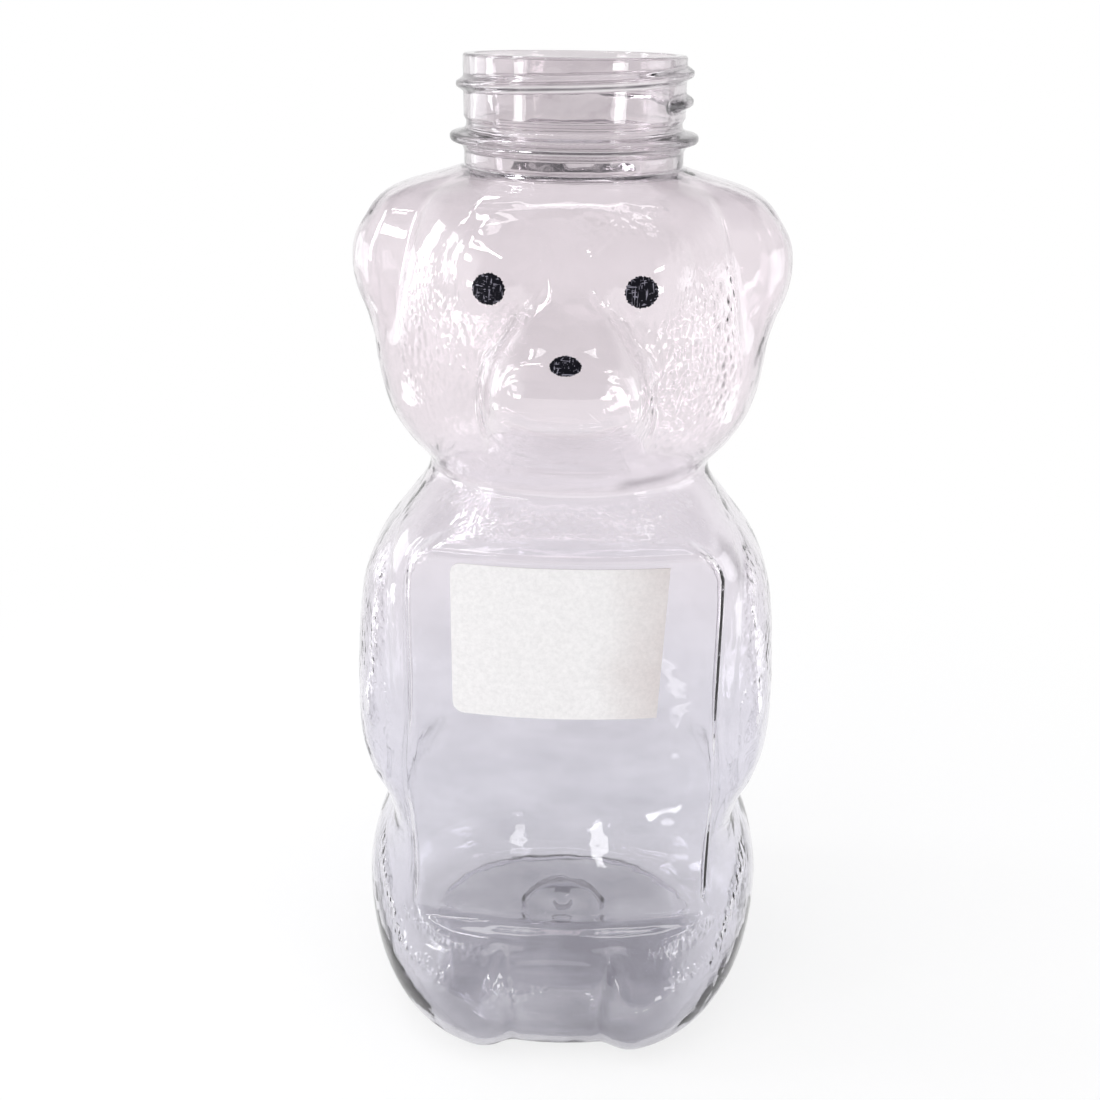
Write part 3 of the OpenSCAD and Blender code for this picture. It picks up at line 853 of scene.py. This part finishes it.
        # The neck is thick plastic; the band at its support ring is darker still, partly painted shade.
        share = share + (0.44 + 0.4 * np.exp(-(((z - 152.7) / 1.2) ** 2)) - share) * ease(147, 149, z)
        # Painted shade: the lap darkens towards the floor in front.
        lap = (0.2 * (1 - ease(16, 26, z)) + 0.52 * (1 - ease(7, 17, z))) * (1 - ease(32, 62, a))
        share = np.maximum(share, lap)
        # Painted shade along the lines that carry a shade value.
        for line in self.form.lines:
            if line.shade:
                near, where = line.reach(np.radians(th) * 33, z)
                fade = ease(0, 0.2, where) * (1 - ease(0.8, 1, where))
                share = np.maximum(share, line.shade * fade * np.exp(-((near / line.width) ** 2)))
        # The floor is thick plastic, darkened further as painted shade on the push-up ring and the boss.
        floor = (1 - ease(-4.5, 0.3, away - self.form.radius(th, 0.0) + self.form.heel_in(th))) * (z < 8)
        push_up = 0.45 * np.exp(-(((away - 7.0) / 1.3) ** 2)) + 0.4 * np.exp(-((away / 2.0) ** 2))
        return share + (0.7 + push_up - share) * floor

    def relief_tree(self, material: bpy.types.Material) -> tuple[bpy.types.NodeTree, dict[str, float]]:
        """Builds the tree that raises the screw thread along its helix and the fur over its patches.

        Args:
            material: the shell's finish.

        Returns:
            The tree, and the value of each named input.
        """
        values = {
            "Axis Y": NECK_Y * MM,
            "Thread Pitch": self.thread_pitch * MM,
            "Thread Start Height": self.thread_start_z * MM,
            "Thread Start Turn": self.thread_start_turn,
            "Thread Turns": self.thread_turns,
            "Thread Crest": self.thread_crest * MM,
            "Thread Foot": 1.25 * MM,
            "Fur Depth": self.fur_depth * MM,
            "Tuft Width": self.tuft_w * MM,
            "Tuft Length": self.tuft_h * MM,
            "Wave Depth": self.wave_depth * MM,
            "Wave Size": self.wave_size * MM,
            "Seed": 7.0,
        }
        tree = bpy.data.node_groups.new("moulded_relief", "GeometryNodeTree")
        tree.interface.new_socket("Geometry", in_out="OUTPUT", socket_type="NodeSocketGeometry")
        tree.interface.new_socket("Geometry", in_out="INPUT", socket_type="NodeSocketGeometry")
        for name in values:
            tree.interface.new_socket(name, in_out="INPUT", socket_type="NodeSocketFloat")
        given = add(tree, "NodeGroupInput").outputs
        where = add(tree, "GeometryNodeInputPosition").outputs[0]
        xyz = add(tree, "ShaderNodeSeparateXYZ", {0: where}).outputs
        back = add(tree, "ShaderNodeMath", {0: given["Axis Y"], 1: xyz["Y"]}, operation="SUBTRACT").outputs[0]
        angle = add(tree, "ShaderNodeMath", {0: xyz["X"], 1: back}, operation="ARCTAN2").outputs[0]
        turn = add(tree, "ShaderNodeMath", {0: angle, 1: 2 * math.pi}, operation="DIVIDE").outputs[0]
        rise = add(
            tree, "ShaderNodeMath", {0: xyz["Z"], 1: given["Thread Start Height"]}, operation="SUBTRACT"
        ).outputs[0]
        climbed = add(tree, "ShaderNodeMath", {0: rise, 1: given["Thread Pitch"]}, operation="DIVIDE").outputs[0]
        level = add(
            tree, "ShaderNodeMath", {0: climbed, 1: given["Thread Start Turn"]}, operation="ADD"
        ).outputs[0]
        lap = add(tree, "ShaderNodeMath", {0: level, 1: turn}, operation="SUBTRACT").outputs[0]
        whole = add(tree, "ShaderNodeMath", {0: lap}, operation="ROUND").outputs[0]
        at = add(tree, "ShaderNodeMath", {0: turn, 1: whole}, operation="ADD").outputs[0]
        off = add(tree, "ShaderNodeMath", {0: level, 1: at}, operation="SUBTRACT").outputs[0]
        away = add(tree, "ShaderNodeMath", {0: off}, operation="ABSOLUTE").outputs[0]
        gap = add(tree, "ShaderNodeMath", {0: away, 1: given["Thread Pitch"]}, operation="MULTIPLY").outputs[0]
        flank = add(
            tree,
            "ShaderNodeMapRange",
            {"Value": gap, "From Min": given["Thread Foot"], "From Max": 0.25 * MM},
            interpolation_type="SMOOTHSTEP",
        ).outputs["Result"]
        end = add(
            tree, "ShaderNodeMath", {0: given["Thread Start Turn"], 1: given["Thread Turns"]}, operation="ADD"
        ).outputs[0]
        begun = add(tree, "ShaderNodeMath", {0: at, 1: given["Thread Start Turn"]}, operation="SUBTRACT").outputs[0]
        left = add(tree, "ShaderNodeMath", {0: end, 1: at}, operation="SUBTRACT").outputs[0]
        height = add(tree, "ShaderNodeMath", {0: flank, 1: given["Thread Crest"]}, operation="MULTIPLY").outputs[0]
        for reach, run in ((begun, 0.045), (left, 0.075)):
            taper = add(
                tree,
                "ShaderNodeMapRange",
                {"Value": reach, "From Min": 0.0, "From Max": run},
                interpolation_type="SMOOTHSTEP",
            ).outputs["Result"]
            height = add(tree, "ShaderNodeMath", {0: height, 1: taper}, operation="MULTIPLY").outputs[0]
        band = add(tree, "GeometryNodeInputNamedAttribute", {"Name": "thread_band"}, data_type="FLOAT").outputs[0]
        height = add(tree, "ShaderNodeMath", {0: height, 1: band}, operation="MULTIPLY").outputs[0]
        ahead = add(tree, "ShaderNodeMath", {0: xyz["Y"], 1: given["Axis Y"]}, operation="SUBTRACT").outputs[0]
        flat = add(tree, "ShaderNodeCombineXYZ", {"X": xyz["X"], "Y": ahead}).outputs[0]
        outwards = add(tree, "ShaderNodeVectorMath", {0: flat}, operation="NORMALIZE").outputs[0]
        lift = add(tree, "ShaderNodeVectorMath", {0: outwards, "Scale": height}, operation="SCALE").outputs[0]
        threaded = add(tree, "GeometryNodeSetPosition", {"Geometry": given["Geometry"], "Offset": lift}).outputs[0]
        size = add(
            tree,
            "ShaderNodeCombineXYZ",
            {"X": given["Tuft Width"], "Y": given["Tuft Width"], "Z": given["Tuft Length"]},
        ).outputs[0]
        place = add(tree, "ShaderNodeVectorMath", {0: where, 1: size}, operation="DIVIDE").outputs[0]
        swirl = add(tree, "ShaderNodeTexNoise", {"Vector": place, "Scale": 0.35, "Detail": 1.0}).outputs["Color"]
        blown = add(tree, "ShaderNodeVectorMath", {0: swirl, 1: place}, operation="ADD").outputs[0]
        tufts = add(
            tree,
            "ShaderNodeTexVoronoi",
            {"Vector": blown, "W": given["Seed"], "Scale": 1.0, "Smoothness": 0.35},
            voronoi_dimensions="4D",
            feature="SMOOTH_F1",
        ).outputs["Distance"]
        centred = add(tree, "ShaderNodeMath", {0: 0.5, 1: tufts}, operation="SUBTRACT").outputs[0]
        deep = add(tree, "ShaderNodeMath", {0: centred, 1: given["Fur Depth"]}, operation="MULTIPLY").outputs[0]
        share = add(tree, "GeometryNodeInputNamedAttribute", {"Name": "fur"}, data_type="FLOAT").outputs[0]
        stand = add(tree, "ShaderNodeMath", {0: deep, 1: share}, operation="MULTIPLY").outputs[0]
        way = add(tree, "GeometryNodeInputNormal").outputs[0]
        tuft = add(tree, "ShaderNodeVectorMath", {0: way, "Scale": stand}, operation="SCALE").outputs[0]
        furred = add(tree, "GeometryNodeSetPosition", {"Geometry": threaded, "Offset": tuft}).outputs[0]
        pace = add(tree, "ShaderNodeMath", {0: 1.0, 1: given["Wave Size"]}, operation="DIVIDE").outputs[0]
        swell = add(tree, "ShaderNodeTexNoise", {"Vector": where, "Scale": pace, "Detail": 1.0}).outputs[0]
        level_out = add(tree, "ShaderNodeMath", {0: swell, 1: 0.8}, operation="SUBTRACT").outputs[0]
        slack = add(tree, "ShaderNodeMath", {0: level_out, 1: given["Wave Depth"]}, operation="MULTIPLY").outputs[0]
        blown_share = add(tree, "GeometryNodeInputNamedAttribute", {"Name": "blown"}, data_type="FLOAT").outputs[0]
        wavy = add(tree, "ShaderNodeMath", {0: slack, 1: blown_share}, operation="MULTIPLY").outputs[0]
        sway = add(tree, "ShaderNodeVectorMath", {0: way, "Scale": wavy}, operation="SCALE").outputs[0]
        waved = add(tree, "GeometryNodeSetPosition", {"Geometry": furred, "Offset": sway}).outputs[0]
        real = add(tree, "GeometryNodeRealizeInstances", {"Geometry": waved}).outputs[0]
        dressed = add(tree, "GeometryNodeSetMaterial", {"Geometry": real, "Material": material}).outputs[0]
        add(tree, "NodeGroupOutput", {"Geometry": dressed})
        return tree, values

    def build(self) -> bpy.types.Object:
        """Makes the shell, runs the relief tree on it, and stands it in for the CAD node."""
        piece = self.mesh()
        material = self.finish.material()
        piece.data.materials.append(material)
        tree, values = self.relief_tree(material)
        relief = piece.modifiers.new("moulded_relief", "NODES")
        relief.node_group = tree
        for socket in tree.interface.items_tree:
            if socket.in_out == "INPUT" and socket.name in values:
                relief[socket.identifier] = values[socket.name]
        seen = piece.evaluated_get(bpy.context.evaluated_depsgraph_get())
        finished = bpy.data.meshes.new_from_object(seen)
        piece.modifiers.remove(relief)
        piece.data = finished
        for name in ("thread_band", "blown"):
            if name in finished.attributes:
                finished.attributes.remove(finished.attributes[name])
        finished.polygons.foreach_set("use_smooth", [True] * len(finished.polygons))
        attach(piece, "root")
        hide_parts("bottle_shell")
        log.info("bottle shell: %d vertices, %d faces", len(finished.vertices), len(finished.polygons))
        return piece


@dataclass
class PrintedFace:
    """The eyes and the nose: ink films that lie on the moulded outside."""

    form: BearForm
    finish: PadPrintInk
    eye_d: float = 4.6
    nose_w: float = 4.6
    nose_h: float = 2.6
    shift: float = -0.45
    nose_z: float = 124.2
    gap: float = 0.03
    film: float = 0.07

    def film_mesh(self, name: str, x: float, z: float, w: float, h: float, ragged: float) -> bpy.types.Object:
        """Builds one film as a thin closed sheet with a slightly ragged edge.

        Args:
            name: the piece's name.
            x: distance of its middle from the middle line.
            z: height of its middle.
            w: width.
            h: height.
            ragged: how far the edge wanders, as a share of the size.

        Returns:
            The finished piece.
        """
        turns, rings = 144, 10
        middle = math.degrees(math.asin(x / 30))
        for _ in range(8):
            middle = math.degrees(math.asin(x / float(self.form.radius(middle, z))))
        per_mm = 180 / math.pi / float(self.form.radius(middle, z))
        phi = np.arange(turns) * 2 * math.pi / turns
        edge = 1 + ragged * (0.5 * np.sin(9 * phi + x) + 0.8 * np.sin(23 * phi + z) + 0.7 * np.sin(37 * phi))
        u, v = [0.0], [0.0]
        for ring in range(1, rings + 1):
            share = ring / rings
            rim = 1 + (edge - 1) * share**3
            u += list(share * rim * np.cos(phi))
            v += list(share * rim * np.sin(phi))
        th = middle + np.array(u) * w / 2 * per_mm / math.cos(math.radians(middle))
        zz = z + np.array(v) * h / 2
        base, n = self.form.point(th, zz), self.form.normal(th, zz)
        points = np.concatenate([base + n * self.gap, base + n * (self.gap + self.film)])
        count = len(base)
        cap = [[0, 1 + i, 1 + (i + 1) % turns] for i in range(turns)]
        for ring in range(rings - 1):
            start = 1 + ring * turns
            for i in range(turns):
                j = (i + 1) % turns
                cap.append([start + i, start + turns + i, start + turns + j, start + j])
        last = 1 + (rings - 1) * turns
        faces = [[c + count for c in f] for f in cap] + [f[::-1] for f in cap]
        for i in range(turns):
            j = (i + 1) % turns
            faces.append([last + i, last + j, last + j + count, last + i + count])
        piece = mesh_piece(name, points, faces)
        piece.data.materials.append(self.material)
        return piece

    def build(self) -> None:
        """Makes the three films and stands them in for their CAD nodes."""
        self.material = self.finish.material()
        eye_x, eye_z = self.form.eye_x, self.form.eye_z
        for name, x, z, w, h in (
            ("eye_left", eye_x + self.shift, eye_z, self.eye_d, self.eye_d),
            ("eye_right", -eye_x + self.shift, eye_z, self.eye_d, self.eye_d),
            ("nose", 0.0, self.nose_z, self.nose_w, self.nose_h),
        ):
            piece = self.film_mesh(f"{name}_print", x, z, w, h, 0.03)
            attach(piece, "root")
            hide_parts(name)
            log.info("%s: ink film %.1f by %.1f mm", name, w, h)


@dataclass
class FrontSticker:
    """The small paper sticker and its adhesive, which keep their CAD shapes."""

    paper: UncoatedPaper
    glue: AcrylicAdhesive

    def build(self) -> None:
        """Dresses the two CAD nodes."""
        for node, finish in (("sticker_paper", self.paper), ("sticker_adhesive", self.glue)):
            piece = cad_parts[node]
            material = finish.material()
            for slot in piece.material_slots:
                slot.material = material
            if not piece.material_slots:
                piece.data.materials.append(material)
            log.info("%s: dressed with %s", node, material.name)


# Studio


@dataclass(frozen=True)
class Softbox:
    """A soft lamp that looks at the bottle from an azimuth and an elevation in degrees."""

    name: str
    azimuth: float
    elevation: float
    distance: float
    width: float
    height: float
    radiance: float
    colour: str = "ffffff"

    def build(self) -> None:
        """Places the lamp so that it faces the middle of the bottle."""
        data = bpy.data.lights.new(self.name, "AREA")
        data.shape = "RECTANGLE"
        data.size, data.size_y = self.width, self.height
        data.energy = self.radiance * math.pi * self.width * self.height
        data.color = srgb(self.colour)[:3]
        lamp = bpy.data.objects.new(self.name, data)
        bpy.context.scene.collection.objects.link(lamp)
        az, el = math.radians(self.azimuth), math.radians(self.elevation)
        way = Vector((math.sin(az) * math.cos(el), -math.cos(az) * math.cos(el), math.sin(el)))
        lamp.location = way * self.distance + Vector((0, 0, 0.09))
        lamp.rotation_euler = way.to_track_quat("Z", "Y").to_euler()
        lamp.visible_camera = False


@dataclass(frozen=True)
class TableGlint:
    """Light from a patch of the table in front of the bottle, outside the picture. Places in millimetres."""

    name: str
    x: float
    y: float
    width: float
    depth: float
    radiance: float

    def build(self) -> None:
        """Places the lamp flat on the table, facing up."""
        data = bpy.data.lights.new(self.name, "AREA")
        data.shape = "RECTANGLE"
        data.size, data.size_y = self.width * MM, self.depth * MM
        data.energy = self.radiance * math.pi * data.size * data.size_y
        lamp = bpy.data.objects.new(self.name, data)
        bpy.context.scene.collection.objects.link(lamp)
        lamp.location = (self.x * MM, self.y * MM, 0.6 * MM)
        lamp.rotation_euler = (math.pi, 0.0, 0.0)
        lamp.visible_camera = False


@dataclass
class Studio:
    """Pale floor, white surroundings, soft lamps and the camera of the photograph."""

    lamps: tuple[Softbox, ...]
    glints: tuple[TableGlint, ...] = ()
    daylight: float = 0.72
    room: str = "5a585e"
    room_through: str = "d8d6dc"
    room_from: float = 0.55
    room_full: float = 0.68
    ceiling_from: float = 0.42
    ceiling_full: float = 0.72

    def seen_white(self, tree: bpy.types.NodeTree) -> bpy.types.NodeSocket:
        """A share that is 1 for camera, glossy and transmission rays, so that all of them see the backdrop."""
        path = add(tree, "ShaderNodeLightPath").outputs
        two = add(
            tree, "ShaderNodeMath", {0: path["Is Camera Ray"], 1: path["Is Glossy Ray"]}, operation="MAXIMUM"
        )
        three = add(
            tree, "ShaderNodeMath", {0: two.outputs[0], 1: path["Is Transmission Ray"]}, operation="MAXIMUM"
        )
        return three.outputs[0]

    def world(self) -> None:
        """White backdrop and sides with a dim room behind the camera, and even daylight for what is lit."""
        world = bpy.data.worlds.new("studio")
        world.use_nodes = True
        bpy.context.scene.world = world
        tree = world.node_tree
        tree.nodes.clear()
        lit = add(
            tree, "ShaderNodeBackground", {"Color": srgb("fdfdff"), "Strength": self.daylight}
        )
        way = add(tree, "ShaderNodeTexCoord").outputs["Generated"]
        xyz = add(tree, "ShaderNodeSeparateXYZ", {0: way}).outputs
        level = add(tree, "ShaderNodeCombineXYZ", {"X": xyz["X"], "Y": xyz["Y"]}).outputs[0]
        heading = add(tree, "ShaderNodeVectorMath", {0: level}, operation="NORMALIZE").outputs[0]
        ahead = add(tree, "ShaderNodeVectorMath", {0: heading, 1: (0.0, -1.0, 0.0)}, operation="DOT_PRODUCT")
        room = add(
            tree,
            "ShaderNodeMapRange",
            {"Value": ahead.outputs["Value"], "From Min": self.room_from, "From Max": self.room_full},
            interpolation_type="SMOOTHSTEP",
        ).outputs["Result"]
        ceiling = add(
            tree,
            "ShaderNodeMapRange",
            {"Value": xyz["Z"], "From Min": self.ceiling_from, "From Max": self.ceiling_full},
            interpolation_type="SMOOTHSTEP",
        ).outputs["Result"]
        path = add(tree, "ShaderNodeLightPath").outputs
        either = add(tree, "ShaderNodeMath", {0: room, 1: ceiling}, operation="MAXIMUM").outputs[0]
        shade = add(
            tree, "ShaderNodeMath", {0: either, 1: path["Is Camera Ray"]}, operation="SUBTRACT", use_clamp=True
        ).outputs[0]
        mirrored = path["Is Glossy Ray"]
        dim = add(
            tree,
            "ShaderNodeMix",
            {"Factor": mirrored, "A": srgb(self.room_through), "B": srgb(self.room)},
            data_type="RGBA",
        ).outputs["Result"]
        colour = add(
            tree, "ShaderNodeMix", {"Factor": shade, "A": srgb("ffffff"), "B": dim}, data_type="RGBA"
        ).outputs["Result"]
        seen = add(tree, "ShaderNodeBackground", {"Color": colour, "Strength": 1.0})
        both = add(
            tree, "ShaderNodeMixShader", {0: self.seen_white(tree), 1: lit.outputs[0], 2: seen.outputs[0]}
        )
        add(tree, "ShaderNodeOutputWorld", {"Surface": both.outputs[0]})

    def floor(self) -> None:
        """A pale floor that keeps the bottle's shadow and fades to white further out."""
        side = 3000.0
        points = np.array([[-side, -side, -0.2], [side, -side, -0.2], [side, side, -0.2], [-side, side, -0.2]])
        floor = mesh_piece("studio_floor", points, [[0, 1, 2, 3]], smooth=False)
        made = bpy.data.materials.new("floor_matt_white")
        made.use_nodes = True
        tree = made.node_tree
        tree.nodes.clear()
        place = add(tree, "ShaderNodeTexCoord").outputs["Object"]
        far = add(tree, "ShaderNodeVectorMath", {0: place}, operation="LENGTH").outputs["Value"]
        out = add(
            tree,
            "ShaderNodeMapRange",
            {"Value": far, "From Min": 0.07, "From Max": 0.24, "To Min": 0.78, "To Max": 1.0},
            interpolation_type="SMOOTHSTEP",
        ).outputs["Result"]
        share = add(tree, "ShaderNodeMath", {0: out, 1: self.seen_white(tree)}, operation="MULTIPLY").outputs[0]
        matt = add(tree, "ShaderNodeBsdfDiffuse", {"Color": srgb("f7f7f8")})
        glow = add(tree, "ShaderNodeEmission", {"Color": srgb("ffffff"), "Strength": 1.0})
        both = add(tree, "ShaderNodeMixShader", {0: share, 1: matt.outputs[0], 2: glow.outputs[0]})
        add(tree, "ShaderNodeOutputMaterial", {"Surface": both.outputs[0]})
        floor.data.materials.append(made)

    def camera(self) -> None:
        """The photograph's viewpoint, found from the rim, the ring and the keystone of the panel."""
        away, height, turn = 221.7 * MM, 171.8 * MM, math.radians(1.2)
        pitch, roll = math.radians(22.18), math.radians(0.88)
        data = bpy.data.cameras.new("camera")
        data.sensor_width = 36.0
        data.lens = 1330 / 1100 * 36.0
        data.shift_x = -17.9 / 1100
        data.dof.use_dof = False
        data.clip_start = 0.01
        camera = bpy.data.objects.new("camera", data)
        bpy.context.scene.collection.objects.link(camera)
        camera.location = (away * math.sin(turn), NECK_Y * MM - away * math.cos(turn), height)
        tilt = Matrix.Rotation(turn, 3, "Z") @ Matrix.Rotation(math.pi / 2 - pitch, 3, "X")
        camera.rotation_euler = (tilt @ Matrix.Rotation(roll, 3, "Z")).to_euler()
        bpy.context.scene.camera = camera

    def build(self) -> None:
        """Sets up the whole studio."""
        self.world()
        self.floor()
        for lamp in self.lamps + self.glints:
            lamp.build()
        self.camera()
        scene = bpy.context.scene
        scene.view_settings.view_transform = "Standard"
        scene.cycles.max_bounces = 96
        scene.cycles.transmission_bounces = 64
        scene.cycles.glossy_bounces = 64


LINES = (
    MouldLine("ear_front", ((45, 147.5), (37.5, 144.5), (35.3, 140), (34.9, 134), (35.4, 128), (36.4, 121)), 0.6, 1.9),
    MouldLine("ear_rim", ((47, 146.5), (42, 143.5), (40.6, 138), (40.6, 131), (41.6, 125)), 0.45, 1.6, Cut.RIDGE),
    MouldLine(
        "brow",
        ((22.3, 139.8), (17, 142), (13.2, 142.3), (9.8, 141.8), (6.6, 140.2), (4.6, 138.6), (4.8, 136.4), (8.2, 135.4)),
        0.5,
        0.85,
        Cut.RIDGE,
    ),
    MouldLine("crown", ((22.3, 143.5), (20.4, 144.8), (15.4, 145.3), (10.1, 145.6)), 0.4, 0.9, Cut.RIDGE),
    MouldLine("eye_socket", ((4.4, 134.8), (5.8, 132.2), (8.8, 130.3), (12.7, 129.4), (17, 130.4)), 0.4, 0.85),
    # A groove with painted shade along it.
    MouldLine(
        "muzzle_side",
        ((8.1, 133.2), (9.2, 130.5), (10.9, 127.5), (11.7, 125), (12.3, 122.5), (13, 119.5), (13.4, 116.2), (12.6, 113)),
        0.6,
        1.3,
        shade=0.35,
    ),
    MouldLine("snout", ((0, 125.4), (3.3, 125), (7.2, 123.2), (9.4, 121), (10.2, 118.8), (11, 115)), 0.45, 1.1, Cut.RIDGE),
    MouldLine("lower_lip", ((0, 114.4), (3.4, 114.6), (7.4, 116)), 0.25, 1.3, Cut.RIDGE),
    MouldLine("chest_high", ((30, 97.4), (25.6, 97.2), (20.2, 97), (14.4, 96.4)), 0.4, 1.0, Cut.RIDGE, beads=0.5),
    MouldLine("chest_low", ((24.5, 92.8), (19, 93.6), (15, 94.6), (13.6, 95.8)), 0.4, 0.9, Cut.RIDGE),
    MouldLine("arm_inside", ((39, 90), (34.6, 87.4), (32, 82), (31.8, 74), (31, 66), (30.2, 58), (30.4, 50), (33, 43)), 0.6, 1.5),
    MouldLine("arm_fur", ((37.3, 85.5), (33.4, 82.8), (33.2, 77.2), (33.4, 71.5), (33.6, 66.2)), 0.4, 1.5, Cut.RIDGE, beads=0.5),
    MouldLine("hand", ((33.6, 66), (34.2, 61), (32, 57.2), (29.7, 55.6), (30.6, 62), (33, 66)), 0.5, 1.1, Cut.RIDGE, beads=0.3),
    MouldLine("leg", ((38.6, 28.8), (33.4, 24.8), (29.2, 20), (25.2, 16.4), (21, 15.5), (17.3, 15.5)), 0.5, 1.3, Cut.RIDGE, beads=0.7),
    MouldLine("ankle", ((27.2, 22), (23.3, 20.8), (19.9, 20), (16.1, 19.5), (11.4, 19.2)), 0.5, 1.2, Cut.RIDGE, beads=0.8),
    MouldLine("toes", ((18.4, 18.6), (17.2, 16), (16.6, 12.8)), 0.4, 1.0, Cut.RIDGE),
    MouldLine("toe_inside", ((-9.6, 13.6), (-7.4, 12), (-6.6, 12.8), (-2.9, 14)), 0.5, 1.1, Cut.RIDGE, mirrored=False, beads=0.8),
    MouldLine("lap_edge", ((0, 21.2), (12, 21.3), (20, 21.6), (24.6, 23.2), (26.4, 27)), 0.5, 0.8, Cut.RIDGE),
    # A groove with painted shade along it.
    MouldLine("lap_fold", ((-8.4, 17), (-2.7, 17.6), (2, 17.6), (6.5, 17.4)), 0.35, 0.7, mirrored=False, shade=0.85),
    MouldLine("foot_side", ((7, 3), (7.2, 8), (8.1, 14), (9.5, 19.4), (10.7, 17), (10.8, 14)), 0.9, 1.0),
    # Painted shade only: with no depth, these lines just darken the tint at the foot arches, the chin crease, the
    # shoulder and under the neck.
    MouldLine("foot_arch", ((7, 2), (7.2, 8), (8.1, 14), (9.5, 19.4)), 0.0, 1.0, mirrored=False, shade=1.0),
    MouldLine("foot_crease", ((-7.4, 2), (-7.7, 7), (-8.3, 11)), 0.0, 0.8, mirrored=False, shade=0.9),
    MouldLine("chin_crease", ((10, 100.6), (20, 101.4), (32, 102.6), (44, 104.4)), 0.0, 1.0, mirrored=False, shade=1.0),
    MouldLine("chin_crease_right", ((-46, 102), (-38, 100), (-28, 99)), 0.0, 0.8, mirrored=False, shade=0.9),
    MouldLine("shoulder", ((27.5, 92.5), (31, 89), (32.6, 83)), 0.0, 2.0, mirrored=False, shade=0.8),
    MouldLine("neck_foot", ((20, 147.6), (30, 146.6), (40, 144.6)), 0.0, 1.4, shade=0.6),
)

LAMPS = (
    Softbox("window_left", -92, 20, 0.6, 0.1, 0.36, 6.5, "fbfcff"),
    Softbox("window_far_left", -116, 3, 0.6, 0.34, 0.2, 1.3, "fbfcff"),
    Softbox("window_top_left", -118, 61, 0.6, 0.34, 0.05, 12.0, "fbfcff"),
    Softbox("band_left", -58, 2.4, 0.6, 0.13, 0.09, 6.0),
    Softbox("band_right", 47, 2.4, 0.6, 0.14, 0.09, 6.0),
    Softbox("window_right", 96, 3, 0.6, 0.36, 0.2, 1.5, "fbfcff"),
    Softbox("pane_high", -52, 46, 0.6, 0.42, 0.025, 16.0),
    Softbox("pane_left", -70, 30, 0.6, 0.1, 0.05, 9.0),
    Softbox("pane_right", 52, 30, 0.6, 0.12, 0.05, 9.0),
    Softbox("ceiling", 0, 86, 0.6, 0.6, 0.06, 4.0),
)

GLINTS = (
    TableGlint("table_middle", 17, -79, 5, 10, 6.0),
    TableGlint("table_right", 48, -84, 22, 5, 6.0),
    TableGlint("table_left", -21, -83, 6, 7, 3.0),
    TableGlint("table_streak", 78, -150, 7, 50, 1.6),
    TableGlint("table_far_left", -270, 60, 110, 70, 3.0),
    TableGlint("table_far_right", 230, 65, 110, 70, 1.5),
)


def main() -> None:
    """Builds and dresses each piece, then the studio."""
    logging.basicConfig(level=logging.INFO, format="%(name)s: %(message)s")
    form = BearForm(lines=LINES)
    BlownShell(form, ClearPet()).build()
    PrintedFace(form, PadPrintInk()).build()
    FrontSticker(UncoatedPaper(), AcrylicAdhesive()).build()
    Studio(LAMPS, GLINTS).build()


if __name__ == "__main__":
    main()
